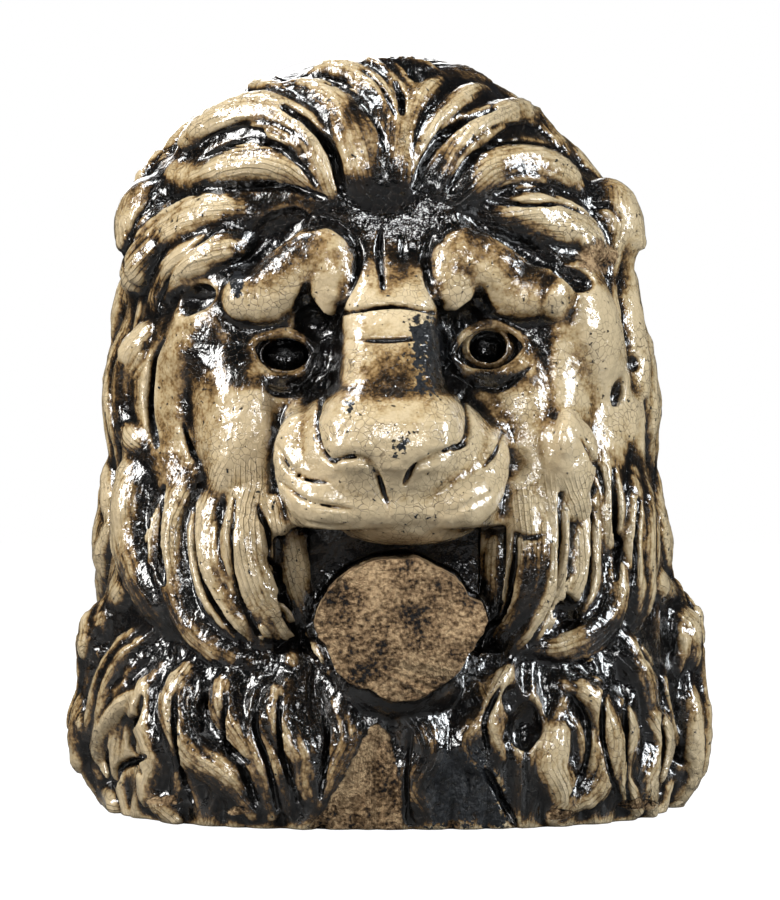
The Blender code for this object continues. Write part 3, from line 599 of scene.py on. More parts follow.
furrow(((-35, 337.5), (-46, 349.5), (-63, 356.5), (-81, 354.5), (-95, 346.5)), 2.2)
furrow(((28, 329.5), (38, 343.5), (53, 354.5), (71, 355.5)), 2.4)
slit(((108, 285.5), (96, 281.5), (84, 281.5)), 4, 5)


# The ears
# Two short thick ears stand out of the hair, each with a hollow front.

swell(head, (-127, -30, 313), (22, 20, 26), 14, soft=8)
swell(head, (119, -30, 313), (18, 19, 24), -12, soft=8)
for knots, widths in (
    (((-97, 328.5), (-113, 328.5), (-126, 321.5), (-133, 305.5)), (14, 24, 27, 20)),
    (((-102, 312.5), (-116, 310.5), (-127, 301.5), (-132, 286.5)), (12, 20, 22, 13)),
    (((94, 325.5), (108, 324.5), (118, 316.5), (121.5, 300.5)), (12, 22, 24, 15)),
):
    lay(knots, widths, 0.5, flatten=0.62, soft=4, combed=False)
slit(((-103, 319.5), (-117, 317.5), (-128, 308.5), (-133, 297.5)), 3.5, 3.5)
furrow(((-114, 329.5), (-120, 322.5), (-123, 314.5)), 3)
slit(((104, 314.5), (112, 314.5), (118, 306.5)), 4, 3.5)
dimple((-128, 288.5), (9, 6, 6))


# The mane
# The mane frames the face: wide curved locks on the left, and on the right a smooth fall that
# breaks up into pointed ends above the collar.

hands.settle()
SIDE_LOCKS = 5
SIDE_FIRST_DEGREES = 69
SIDE_STEP_DEGREES = 6
for number in range(2 * SIDE_LOCKS):
    side = -1 if number < SIDE_LOCKS else 1
    arc = side * ARC_MM * (SIDE_FIRST_DEGREES + SIDE_STEP_DEGREES * (number % SIDE_LOCKS))
    sway = 5 * math.sin(2.3 * number)
    knots = ((arc, 325), (arc + sway, 250), (arc - sway, 160), (arc + sway, 60))
    lay(knots, (12, 19, 20, 14), -1.5, flatten=0.55, place=on_round)
MANE_FULLNESS = 1.22
hands.settle()
for knots, widths, lift in (
    (((-74, 311.5), (-94, 308), (-111, 299.5), (-123.5, 285.5), (-130, 265.5)), (13, 21, 22, 20, 11), 3.0),
    (((-76, 298.5), (-89, 293.5), (-104, 285.5), (-114, 272.5), (-119, 256.5)), (16, 22, 21, 15, 8), 1.5),
    (((-114, 252.5), (-118, 227.5), (-118, 202.5), (-111, 180.5)), (20, 24, 24, 18), -0.5),
    (((-113, 256.5), (-126, 246.5), (-132.5, 227.5), (-132.5, 207.5), (-127, 192.5), (-115, 180.5)),
     (12, 15, 16, 16, 15, 10), 1.5),
    (((-104, 254.5), (-106, 227.5), (-105, 205), (-99, 182.5)), (22, 28, 28, 20), -0.5),
    (((-91, 250), (-89, 217.5), (-88, 192.5), (-86, 172.5)), (22, 30, 30, 16), -2.0),
    (((-78, 242.5), (-77, 212.5), (-76, 190), (-74, 172.5)), (14, 26, 28, 16), -2.5),
    (((-121, 191.5), (-129, 180.5), (-132, 157.5), (-127.5, 134.5), (-118, 115.5), (-102, 97.5)),
     (16, 19, 20, 20, 17, 8), 2.5),
    (((-102, 182.5), (-110, 157.5), (-111, 137.5), (-105, 117.5), (-91.5, 97.5), (-75, 87), (-63, 84.5)),
     (15, 17, 18, 19, 17, 13, 7), 4.0),
    (((-88, 177.5), (-91.5, 150), (-87.5, 125), (-77, 104.5), (-64, 90.5)), (18, 20, 20, 15, 5), 3.0),
    (((-72, 173.5), (-73.5, 147.5), (-68, 122.5), (-58, 101.5), (-45, 79.5)), (17, 18, 18, 14, 6), 3.5),
    (((-59, 163.5), (-53.5, 146), (-49.5, 130), (-46, 114.5), (-41.5, 97.5)), (15, 17, 15, 12, 5), 2.5),
    (((-45, 112.5), (-37, 92.5), (-25, 73.5)), (11, 11, 5), 3.5),
    (((57, 152.5), (57, 135), (54, 116.5), (46, 96.5)), (12, 15, 13, 6), 2.5),
    (((71, 161.5), (71.5, 142.5), (68.5, 121.5), (60, 101.5), (51, 85.5)), (17, 18, 18, 12, 6), 0.5),
    (((82, 179.5), (83, 152.5), (81, 127.5), (72, 104.5), (57, 83.5)), (7, 10, 11, 11, 7), 4.5),
    (((95.5, 167.5), (97, 145), (95, 122.5), (88, 105.5)), (17, 20, 19, 7), 3.0),
    (((106, 191.5), (109.5, 163.5), (109, 137.5)), (12, 15, 5), 4.0),
    (((112.5, 143.5), (110.5, 115.5), (101.5, 99.5), (87, 92.5), (72, 91.5)), (8, 14, 16, 14, 6), 5.0),
    (((122, 186.5), (124, 147.5), (124, 117.5), (119, 97.5)), (18, 24, 20, 6), 2.5),
    (((127, 176.5), (128, 139.5), (125, 110.5)), (12, 17, 8), 1.5),
    (((102, 272.5), (107, 242.5), (107.5, 212.5), (104, 182.5)), (28, 36, 36, 28), -1.0),
    (((89, 267.5), (93, 242.5), (94, 212.5), (93, 182.5)), (16, 26, 30, 24), -3.0),
    (((118, 282.5), (122, 247.5), (123, 217.5), (121.5, 187.5)), (18, 21, 21, 16), -0.5),
):
    lay(
        knots, MANE_FULLNESS * np.array(widths), lift, flatten=0.52, soft=2.5, sink=lift + 3,
        combed=lift > 0,
    )
slit(((-85, 303.5), (-99, 295.5), (-110.5, 283.5), (-118, 265.5)), 3.5, 4)
dimple((-100.5, 267.5), (15, 8, 8), lean=-12)
slit(((-115, 247), (-120.5, 237.5), (-123, 220.5), (-122, 205.5), (-119, 194.5)), 6.5, 8, 0.6)
slit(((-105, 204.5), (-102.5, 194.5), (-97.5, 184.5)), 4, 6)
slit(((-116, 172.5), (-119.5, 157.5), (-120, 141.5), (-116, 125.5)), 10, 7, 0.5)
slit(((-96.5, 173.5), (-101.5, 152.5), (-98.5, 128.5), (-87.5, 108.5), (-73, 93.5)), 6, 9, 0.5)
slit(((-79.5, 167.5), (-82, 143.5), (-77.5, 118.5), (-66, 98.5)), 4.5, 6, 0.5)
slit(
    ((-67, 164.5), (-63, 151.5), (-58.5, 132.5), (-53.5, 112.5), (-45.5, 97.5), (-34, 80.5)),
    6.5, 8, 0.3,
)
slit(((63, 149.5), (61.5, 130), (56, 110.5), (44, 89.5)), 6, 8, 0.5)
slit(((87.5, 169.5), (88.5, 140), (85, 115), (71, 93.5)), 6, 9, 0.6)
slit(((103, 172.5), (104.5, 142.5), (102, 121.5), (94, 106.5)), 6, 8, 0.5)
dimple((89, 109.5), (9, 7, 9))
dimple((90, 102), (4, 4, 4))
furrow(((94, 202.5), (102, 191), (107.5, 177.5), (110, 163.5)), 3, 1)
slit(((114.5, 182.5), (116, 157.5), (115.5, 127.5)), 5.5, 7, 0.5)
slit(((127.5, 167.5), (126.5, 147.5), (124.5, 125.5)), 4, 5)
dimple((117, 221.5), (4, 7, 9), lean=25, deep=1)
dimple((124.5, 235.5), (3, 4, 4))
dimple((131, 211.5), (4, 5, 7))
dimple((94.5, 278.5), (13, 8, 7), lean=10)
dimple((62, 185.5), (9, 4, 8), lean=-30, deep=-1)
furrow(((62, 150.5), (71, 148), (79, 149.5)), 3, 0.5)


# The collar
# Round the foot the mane ends in short curling locks, where the dark glaze ran down and pooled.

COLLAR_FULLNESS = 1.12
STRAND_COUNT = 31
STRAND_STEP = 9.5
STRAND_FIRST = -145.0
for number in range(STRAND_COUNT):
    root = STRAND_FIRST + STRAND_STEP * number
    sway = 4.5 * math.sin(2.7 * number)
    foot = 15 * (root / 160) ** 2 - 3.5
    knots = ((root, 92.5), (root + sway, 67.5), (root - sway, 40), (root + sway, foot))
    lay(knots, (8, 13, 14, 11), -0.5, flatten=0.6, tip_sink=0)
for knots, widths, lift in (
    (((-136, 127.5), (-144.5, 101.5), (-148, 72.5), (-149, 47.5)), (16, 19, 18, 9), 0.0),
    (((-118, 104.5), (-135, 81.5), (-143, 56.5), (-144.5, 31.5), (-138, 13.5)), (12, 21, 25, 23, 12), 2.5),
    (((-119, 74.5), (-135, 61.5), (-142.5, 44.5), (-139, 29.5)), (7, 10, 9, 4), 5.5),
    (((-115, 85.5), (-123, 62.5), (-115, 40.5), (-119, 22.5), (-108, 6.5)), (10, 17, 18, 17, 8), 3.0),
    (((-95, 89.5), (-106, 64.5), (-99, 42.5), (-83, 29.5), (-69, 10.5)), (10, 17, 20, 17, 7), 4.5),
    (((-76, 85.5), (-83, 64.5), (-71, 42.5), (-63, 29.5), (-59, 9.5)), (10, 17, 19, 15, 6), 4.0),
    (((-65, 77.5), (-67, 56.5), (-56, 36.5), (-51, 13.5)), (8, 14, 14, 6), 4.0),
    (((-48, 79.5), (-55, 59.5), (-44, 39.5), (-43, 24.5), (-33, 8.5)), (10, 18, 19, 16, 6), 4.0),
    (((-32, 77.5), (-21, 53.5), (-30, 30.5), (-37, 11.5), (-44, 1.5)), (10, 18, 19, 13, 5), 3.5),
    (((39, 75.5), (48, 61.5), (39, 45.5), (46, 33.5), (52, 28.5)), (10, 17, 17, 12, 4), 3.5),
    (((63, 85.5), (53, 65.5), (51, 48.5), (56, 37.5)), (8, 14, 12, 4), 5.0),
    (((81, 76.5), (101, 66.5), (107.5, 44.5), (102, 22.5), (89, 11.5)), (8, 15, 18, 15, 5), 5.0),
    (((86, 56.5), (79, 36.5), (86, 19.5), (82, 8.5)), (10, 21, 19, 7), 3.0),
    (((106, 72.5), (117, 51.5), (113, 30.5), (123, 11.5)), (9, 16, 16, 7), 4.0),
    (((126, 67.5), (134, 45.5), (127, 25.5), (131, 11.5)), (11, 20, 20, 9), 3.0),
    (((140, 79.5), (149, 56.5), (150.5, 35.5), (146, 14.5)), (12, 22, 24, 12), 2.0),
    (((112, 100.5), (125, 79.5), (131, 55.5)), (13, 21, 9), 2.0),
    (((135, 129.5), (150, 100.5), (155, 67.5)), (14, 20, 10), 2.0),
    (((7, 61.5), (18, 43.5), (12, 26.5), (19, 11.5)), (16, 24, 22, 12), 1.0),
    (((-2, 64.5), (-15, 46.5), (-18, 22.5)), (14, 20, 10), 1.0),
):
    lay(
        knots, COLLAR_FULLNESS * np.array(widths), lift, flatten=0.6, soft=2.5, sink=lift + 3,
        tip_sink=0,
    )
slit(((-93.5, 74.5), (-94.5, 59.5), (-87, 45.5), (-73, 34.5)), 7, 8)
slit(((-127, 67.5), (-132, 50), (-127.5, 29.5)), 7, 6)
slit(((-125, 37.5), (-138, 31.5), (-141, 22.5)), 6, 5)
slit(((-110, 67.5), (-110, 42.5), (-101, 14.5)), 4.5, 6)
slit(((-83.5, 67.5), (-85.5, 50), (-76, 33.5), (-68, 14.5)), 4.5, 6)
slit(((-66, 72.5), (-69, 53.5), (-62, 32.5), (-57, 11.5)), 4, 6)
slit(((-55.5, 67.5), (-56.5, 45.5), (-47, 14.5)), 3.5, 6)
slit(((-36, 67.5), (-32.5, 46.5), (-35.5, 17.5)), 3.5, 6)
furrow(((-48, 67.5), (-49, 47.5), (-41, 25.5)), 2)
furrow(((-44, 69.5), (-44, 49.5), (-37, 29.5)), 2)
furrow(((-26, 63.5), (-21.5, 45), (-29, 25)), 2)
furrow(((-101, 67.5), (-99, 45), (-83, 29.5)), 2)
furrow(((-75, 64.5), (-74, 47.5), (-65, 22.5)), 2)
dimple((69, 53.5), (9, 7, 13), lean=15)
dimple((63, 65.5), (6, 6, 8), lean=-20)
slit(((49, 30), (57, 16.5), (65, 0.5)), 5, 6, 0.7)
slit(((56.5, 72.5), (48.5, 56.5), (50, 39.5)), 3.5, 5)
slit(((93.5, 67.5), (100.5, 52.5), (100, 35), (93, 17.5)), 3.5, 5)
furrow(((90, 70.5), (104, 55.5), (106, 33.5)), 2)
slit(((110, 72.5), (108.5, 47.5), (116.5, 17.5)), 4, 6)
slit(((120, 67.5), (121.5, 42.5), (122, 13.5)), 4, 6)
slit(((138.5, 64.5), (140.5, 42.5), (137, 15.5)), 4, 6)
dimple((149.5, 38.5), (6, 6, 5))
slit(((126, 97.5), (137, 77.5), (142, 61.5)), 5, 6)
slit(((11, 50), (8, 27.5), (10, 3.5)), 3, 4)


# The sides and the back
# The mane hangs down the sides and the back in rows, each row lying over the one below. Locks
# combed back over the top of the head meet a last short row above them.

BACK_ROWS = (
    (6, 108, 80, 9, 31), (92, 190, 84, 8, 31), (166, 262, 84, 8, 31), (232, 322, 86, 8, 30),
    (288, 362, 94, 7, 29),
)
RIGHT_SINK = -3.0
TOP_REACH = 90.0
hands.settle()
for row, (low, high, first, count, width) in enumerate(BACK_ROWS):
    for number in range(2 * count):
        side = -1 if number < count else 1
        step = (number % count + (0.5 if row % 2 else 0.0)) / (count - 0.5)
        arc = side * ARC_MM * (first + (180 - first) * step)
        vary = math.sin(5.3 * number + 2.1 * row)
        lean = side * (9 + 12 * vary)
        middle = (high + low) / 2
        knots = (
            (arc + side * 4 * vary, high + 8 * vary), (arc - lean * 0.5, middle + 14),
            (arc + lean * 0.3, middle - 22), (arc + lean, low - 8 + 9 * vary),
        )
        lift = RIGHT_SINK if side > 0 and 0 < row < 4 else 0.0
        widths = (width + 4 * vary) * np.array((0.8, 1.0, 0.3))
        lay(knots, widths, lift, flatten=0.55, place=on_round, sink=4, tip_sink=2.5)


def on_top(clay, flat):
    """Points by their place in the plan, laid on the clay from above."""
    starts = np.insert(flat, 2, CLAY_HIGH[2], axis=1)
    return first_skin(clay, starts, np.tile((0.0, 0.0, -1.0), (len(flat), 1)), TOP_REACH)


TOP_LOCKS = 9
TOP_STEP = 15
for number in range(2 * TOP_LOCKS - 1):
    wide = TOP_STEP * (number - TOP_LOCKS + 1) / 2
    sway = 5 * math.sin(1.45 * number)
    knots = ((0.35 * wide, -44), (0.8 * wide + sway, -14), (wide - sway, 22), (1.15 * wide, 58))
    if number % 2:
        slit(knots, 4.5, 5, place=on_top)
    else:
        widths = (10.5, 14, 17.5, 21, 16.8, 12.6)
        lay(knots, widths, -4.5, flatten=0.5, place=on_top, sink=1, tip_sink=2)
NAPE_LOCKS = 9
NAPE_FIRST_DEGREES = 104
NAPE_STEP_DEGREES = 19
for number in range(NAPE_LOCKS):
    arc = ARC_MM * (NAPE_FIRST_DEGREES + NAPE_STEP_DEGREES * number)
    vary = math.sin(3.7 * number)
    knots = ((arc, 388), (arc + 8 * vary, 368), (arc - 4 * vary, 338 + 6 * vary))
    lay(knots, (20.8, 26, 9.1), 1.0, flatten=0.5, place=on_round)


# The broken jaw
# The lower jaw has broken off and left a rough stump, and a piece has flaked off the foot below it.

centre = np.array([JAW_CENTRE[0], (JAW_FACE_Y + JAW_BACK_Y) / 2, JAW_CENTRE[1]])
spans, (x, y, z) = head.window(centre - 62, centre + 62)
angle = np.arctan2(z - JAW_CENTRE[1], x - JAW_CENTRE[0])
JAW_OUTLINE = np.array((
    (-39, 103.5), (-38, 111.5), (-33, 120.5), (-25, 129.5), (-12, 136), (-0.5, 138), (13.5, 138), (24.5, 133),
    (34, 128.5), (40, 118.5), (47, 115.5), (50, 106.5), (45, 98.5), (40, 90.5), (36, 81.5), (26, 74),
    (13.5, 66.5), (0.5, 66.5), (-11, 72.5), (-21.5, 75.5), (-29, 85.5), (-33, 94.5),
))
rim = (JAW_OUTLINE - np.array(JAW_CENTRE)) / np.array(JAW_RADII)
rim_angle = np.arctan2(JAW_OUTLINE[:, 1] - JAW_CENTRE[1], JAW_OUTLINE[:, 0] - JAW_CENTRE[0])
order = np.argsort(rim_angle)
ragged = np.interp(angle, rim_angle[order], np.hypot(*rim.T)[order], period=2 * math.pi)
inner = np.sqrt(((x - JAW_CENTRE[0]) / JAW_RADII[0]) ** 2 + ((z - JAW_CENTRE[1]) / JAW_RADII[1]) ** 2)
stump = np.maximum(
    (inner - ragged) * min(JAW_RADII), np.maximum(JAW_FACE_Y - y, y - JAW_BACK_Y)
).astype(np.float32)
head.join(spans, stump, 1.5)
swell(head, (4, -118, 74), (34, 24, 20), soft=3)


# The skin
# The worked clay is fired in one piece, and its surface is drawn off here as one mesh. Each
# point of it keeps how deep it lies in the folds, since the glaze runs and gathers there.

MOST_TRIANGLES = 192_000
SKIN_ROUGH = 0.28
BREAK_ROUGH = 0.7
BREAK_DEPTH = 0.8


def blurred(field, cells):
    """The field averaged over a cube of cells, twice over."""
    for axis in (0, 1, 2, 0, 1, 2):
        padding = [(0, 0)] * 3
        padding[axis] = (cells + 1, cells)
        total = np.cumsum(np.pad(field, padding, mode="edge"), axis=axis, dtype=np.float32)
        last = [slice(None)] * 3
        first = [slice(None)] * 3
        last[axis] = slice(2 * cells + 1, None)
        first[axis] = slice(None, -(2 * cells + 1))
        field = (total[tuple(last)] - total[tuple(first)]) / (2 * cells + 1)
    return field


def mesh_from(name, points, faces):
    """A mesh of faces that all have the same number of corners."""
    mesh = bpy.data.meshes.new(name)
    mesh.vertices.add(len(points))
    mesh.vertices.foreach_set("co", points.astype(np.float32).ravel())
    size = faces.shape[1]
    mesh.loops.add(faces.size)
    mesh.loops.foreach_set("vertex_index", faces.astype(np.int32).ravel())
    mesh.polygons.add(len(faces))
    mesh.polygons.foreach_set("loop_start", np.arange(0, faces.size, size, dtype=np.int32))
    mesh.polygons.foreach_set("loop_total", np.full(len(faces), size, np.int32))
    mesh.update(calc_edges=True)
    mesh.validate()
    return mesh


head.field = np.maximum(head.field, -head.axes[2])
grid = openvdb.FloatGrid(FAR)
grid.copyFromArray(np.clip(head.field, -FAR, FAR))
spots, quads = grid.convertToQuads(0.0)
spots = spots * GRAIN + CLAY_LOW
quads = quads[:, ::-1]
low, high = spots.min(axis=0), spots.max(axis=0)
stretch = (np.array(HEAD_HIGH) - np.array(HEAD_LOW)) / (high - low)
lion = bpy.data.objects.new("lion_head_glazed", mesh_from("lion_head_glazed", spots, quads))
bpy.context.scene.collection.objects.link(lion)
thin = lion.modifiers.new("thin", "DECIMATE")
thin.ratio = MOST_TRIANGLES / (2 * len(quads))
bpy.context.view_layer.update()
graph = bpy.context.evaluated_depsgraph_get()
mesh = bpy.data.meshes.new_from_object(lion.evaluated_get(graph), depsgraph=graph)
lion.modifiers.clear()
lion.data = mesh
points = np.empty(len(mesh.vertices) * 3, np.float32)
mesh.vertices.foreach_get("co", points)
points = points.reshape(-1, 3).astype(float)


def ripples(places, seed, longest, shortest, count=28):
    """Gentle unevenness between -1 and 1, made of many slow waves."""
    rng = np.random.default_rng(seed)
    total = np.zeros(len(places))
    for _ in range(count):
        way = rng.normal(size=3)
        way *= 2 * math.pi / (rng.uniform(shortest, longest) * np.linalg.norm(way))
        total += np.sin(places @ way + rng.uniform(0, 2 * math.pi))
    return np.clip(total / math.sqrt(count), -1.5, 1.5)


from_jaw = np.hypot(
    (points[:, 0] - JAW_CENTRE[0]) / JAW_RADII[0], (points[:, 2] - JAW_CENTRE[1]) / JAW_RADII[1]
)
jaw_face = np.clip((1.2 - from_jaw) * 12, 0, 1) * np.clip((JAW_FACE_Y + 2.2 - points[:, 1]) / 1.2, 0, 1)
outward = head.normal(points, 1.6)
rough = SKIN_ROUGH * ripples(points, 3, 26, 9)
rough += jaw_face * (BREAK_ROUGH * ripples(points, 5, 16, 6) - BREAK_DEPTH)
rough *= np.clip(points[:, 2] / 3, 0, 1)
worked = points + outward * rough[:, None]
world_points = (worked - low) * stretch + np.array(HEAD_LOW)
world_points = np.clip(world_points, np.array(HEAD_LOW), np.array(HEAD_HIGH))
mesh.vertices.foreach_set("co", world_points.astype(np.float32).ravel())
mesh.shade_smooth()
mesh.update()
camera.location = (EYE_POINT - low) * stretch + np.array(HEAD_LOW)


# The glaze
# A cream to tan glaze, crazed all over, that ran thin on the raised parts and lies almost black in the folds.
# The brow and the foot took most of it; broken places show the sandy body. Painted shade darkens the colour
# further in the recesses of the brow and temples and round the eyes.

CREASE_MM, HOLLOW_MM = 2.6, 6.5
BACK_DARK = 0.28
# Patches that darken the colour. Most are the glaze's own darker tone where it pooled, on the crown, ears,
# mane troughs and collar. Those over the brow hollows, the temples, the inner eye corners, and under and
# round the lids are painted shade.
GLAZE_POOL_AND_SHADE_PATCHES = (
    ((0, 303.5), (70, 52), 0, 0.56), ((1, 322.5), (90, 14), 0, 0.3), ((-65, 297.5), (56, 36), -30, 0.75),
    ((61, 298.5), (70, 26), 38, 0.7), ((-40, 259.5), (18, 18), 0, 0.6), ((43, 261.5), (18, 16), 0, 0.6),
    ((-33, 242.5), (16, 36), 8, 0.9), ((26.5, 243.5), (14, 34), -8, 0.9),
    ((-53, 223.5), (50, 10), 5, 0.7), ((50, 225.5), (48, 9), 0, 0.6), ((-77.5, 235.5), (12, 22), 0, 0.4),
    ((76, 245), (14, 16), 0, 0.3), ((-91.5, 242.5), (50, 60), 0, 0.12),
    ((-121.5, 152.5), (26, 62), 0, 0.5), ((-115, 117.5), (32, 48), -25, 0.35),
    ((-83, 122.5), (18, 50), -12, 0.22), ((-59, 117.5), (20, 60), -15, 0.35),
    ((70, 128.5), (20, 44), 8, 0.6), ((58.5, 101.5), (24, 24), 30, 0.5),
    ((98.5, 108.5), (22, 20), 0, 0.4), ((122, 165), (30, 60), 0, 0.45), ((2, 386.5), (60, 12), 0, 0.5),
    ((-15, 364.5), (30, 12), -35, 0.35), ((1, 355), (260, 90), 0, 0.32),
    ((-123, 322.5), (30, 26), 0, 0.4), ((109, 322.5), (24, 16), 0, 0.35),
    ((86, 122.5), (70, 60), 0, 0.2), ((-94, 245), (14, 20), 0, 0.3), ((-41.5, 264.5), (14, 18), 0, 0.3),
    ((-53.5, 239.5), (42, 30), 0, 0.34), ((50.5, 243), (44, 33), 0, 0.34),
    ((-111.5, 215), (60, 66), 0, 0.16), ((0, 217.5), (60, 80), 0, 0.1), ((41, 332.5), (60, 40), 0, 0.15),
    ((-129, 290), (22, 20), 0, 0.5), ((98.5, 278.5), (36, 18), 0, 0.5),
    ((-104, 267.5), (40, 20), 0, 0.4), ((-140, 217.5), (8, 70), 0, 0.5), ((1, 45), (370, 115), 0, 0.62),
    ((135, 97.5), (60, 60), 20, 0.4), ((-136.5, 97.5), (50, 40), -40, 0.3),
    ((1, 4.5), (330, 30), 0, 0.25), ((-34, 132.5), (20, 36), 0, 0.6), ((40, 132.5), (20, 36), 0, 0.6),
)
LID_PATCHES = (((-53.5, 239.5), (42, 32), 0, 2.0), ((50.5, 243), (44, 34), 0, 2.0))
LID_LEAST = -0.05
PALE_PATCHES = (
    ((-138, 47.5), (26, 70), 0, 0.5), ((91, 31.5), (30, 54), 0, 0.5), ((131, 37.5), (20, 50), 0, 0.25),
    ((152, 37.5), (20, 50), 0, 0.3), ((-86.5, 32.5), (30, 16), 25, 0.3), ((25, 14.5), (30, 9), 0, 0.4),
    ((8.5, 146), (68, 9), 0, 0.9), ((76, 197.5), (44, 70), 0, 0.22), ((-69, 197.5), (34, 54), 0, 0.3),
    ((2, 166.5), (130, 42), 0, 0.5), ((0, 306.5), (60, 50), 0, 0.2), ((-81.5, 197.5), (70, 60), 0, 0.15),
    ((109, 217.5), (40, 130), 0, 0.2), ((98.5, 157.5), (60, 60), 0, 0.12),
)
IRON_PATCHES = (
    ((20, 241.5), (20, 34), 10, 0.72), ((15, 251.5), (9, 9), 0, 0.7), ((16, 220), (13, 6), 0, 0.8),
    ((6, 197.5), (12, 12), 0, 0.85), ((-20.5, 214), (6, 4), 0, 0.7), ((-9.5, 211), (5, 4), 0, 0.6),
    ((3.5, 213), (5, 5), 0, 0.7), ((-19.5, 201), (4, 4), 0, 0.6), ((-2, 190), (5, 5), 0, 0.6),
    ((-4, 236.5), (9, 6), -20, 0.6), ((-78, 275.5), (7, 12), 0, 1.0),
)
BARE_PATCHES = (
    ((106, 289), (24, 20), 0, 0.75), ((32, 3), (9, 6), 0, 1.0), ((86, 8.5), (16, 6), 0, 0.9),
    ((-114, 15.5), (20, 6), 0, 0.9), ((126, 13.5), (22, 6), 0, 0.9), ((-77, 10.5), (14, 5), 0, 0.8),
)
CHIP = ((-8.5, 55.5), (-18, 38.5), (-26, 22.5), (-41, 1.5), (7, -0.5), (5, 27.5), (-1, 50))
ROUGH_PATCH = ((26, 41.5), (20, 22.5), (18, -0.5), (62, -0.5), (58.5, 22.5), (46, 42.5))

nearness = (EYE_POINT[1] - SHEET_Y) / (EYE_POINT[1] - points[:, 1])
sheet = np.stack(
    [points[:, 0] * nearness, EYE_POINT[2] + (points[:, 2] - EYE_POINT[2]) * nearness], axis=-1
)
front_share = np.clip((20 - points[:, 1]) / 30, 0, 1)


def painted(patches):
    """How much of the patches lies on each point, softly edged."""
    total = np.zeros(len(points))
    for middle, (wide, tall), lean, strength in patches:
        turn = math.radians(lean)
        across, up = (sheet - np.array(middle)).T
        along = (across * math.cos(turn) - up * math.sin(turn)) / (wide / 2)
        over = (across * math.sin(turn) + up * math.cos(turn)) / (tall / 2)
        away = np.hypot(along, over)
        total = total + strength * np.clip(1.5 - away, 0, 1) * front_share
    return total


def within(outline, soft):
    """How far each point lies inside an outline on the front, from 0 at its edge to 1."""
    knots = np.array(outline, float)
    nearest = np.full(len(sheet), np.inf)
    inside = np.zeros(len(sheet), bool)
    for a, b in zip(knots, np.roll(knots, -1, axis=0)):
        run = b - a
        share = np.clip(((sheet - a) @ run) / (run @ run), 0, 1)
        nearest = np.minimum(nearest, np.linalg.norm(sheet - a - share[:, None] * run, axis=-1))
        crosses = (a[1] > sheet[:, 1]) != (b[1] > sheet[:, 1])
        level = a[0] + (sheet[:, 1] - a[1]) * run[0] / (run[1] if run[1] else 1e-9)
        inside ^= crosses & (sheet[:, 0] < level)
    share = np.clip(np.where(inside, nearest, -nearest) / soft, -1, 1)
    return (share + 1) * front_share - 1


tree = kdtree.KDTree(sum(len(run[0]) for run in hands.strands))
samples = []
for run, radii, normals in hands.strands:
    tangents = np.gradient(run, axis=0)
    for spot, radius, way, normal in zip(run, radii, tangents, normals):
        tree.insert(spot, len(samples))
        side = np.cross(normal, way)
        samples.append((*spot, radius, *(side / max(np.linalg.norm(side), 1e-6))))
tree.balance()
samples = np.array(samples)
NEIGHBOURS = 7
close = np.array([[found[1] for found in tree.find_n(point, NEIGHBOURS)] for point in points])
offsets = points[:, None, :] - samples[close, :3]
ratios = np.linalg.norm(offsets, axis=-1) / samples[close, 3]
best = ratios.argmin(axis=1)
rows = np.arange(len(points))
strand = np.einsum("ij,ij->i", offsets[rows, best], samples[close[rows, best], 4:7])
cover = np.clip((1.05 - np.abs(strand) / samples[close[rows, best], 3]) * 2.5, 0, 1)
cover *= np.clip((1.5 - ratios[rows, best]) * 3, 0, 1)

solid = np.clip(0.5 - head.field / (2 * GRAIN), 0, 1).astype(np.float32)
crease = head.read(points, blurred(solid, max(1, round(CREASE_MM / GRAIN)))) - 0.5
hollow = head.read(points, blurred(solid, max(1, round(HOLLOW_MM / GRAIN)))) - 0.5
lids = np.clip(painted(LID_PATCHES), 0, 1)
crease += lids * (np.maximum(crease, LID_LEAST) - crease)
hollow += lids * (np.maximum(hollow, LID_LEAST) - hollow)
# The dark attribute holds the glaze's darker tones and the painted shade in the recesses round the brow and
# eyes, and darkens the back.
for name, values in (
    ("crease", crease), ("hollow", hollow),
    ("dark", painted(GLAZE_POOL_AND_SHADE_PATCHES) - painted(PALE_PATCHES) + BACK_DARK * (1 - front_share)),
    ("iron", np.maximum(painted(IRON_PATCHES), 0.36 + 0.3 * within(ROUGH_PATCH, 5))),
    ("bare", np.maximum(np.maximum(painted(BARE_PATCHES), jaw_face), 0.5 + 0.5 * within(CHIP, 3))),
    ("strand", strand), ("cover", cover),
):
    layer = mesh.attributes.new(name, "FLOAT", "POINT")
    layer.data.foreach_set("value", values.astype(np.float32))

glaze = bpy.data.materials.new("glaze")
glaze.use_nodes = True
nodes, links = glaze.node_tree.nodes, glaze.node_tree.links
shader = nodes["Principled BSDF"]
place = nodes.new("ShaderNodeTexCoord").outputs["Object"]
GLAZE_STOPS = (
    (0.0, (0.63, 0.50, 0.31)), (0.2, (0.49, 0.365, 0.195)), (0.36, (0.275, 0.17, 0.07)),
    (0.50, (0.085, 0.048, 0.019)), (0.63, (0.014, 0.009, 0.005)), (0.85, (0.0015, 0.0015, 0.0015)),
)
GRIT_STOPS = (
    (0.39, (0.008, 0.007, 0.007)), (0.44, (0.1, 0.058, 0.027)), (0.50, (0.26, 0.165, 0.085)),
    (0.60, (0.52, 0.36, 0.2)),
)
GLAZE_BASE = -0.77
CRACK_COLOUR = (0.05, 0.028, 0.012)
IRON_COLOUR = (0.009, 0.011, 0.014)
CRACK_SCALE = 270
WANDER_SCALE = 120
CRACK_WANDER = 0.004
BUMP_DISTANCE = 0.0013
COLOUR_A, COLOUR_B, COLOUR_OUT = 6, 7, 2


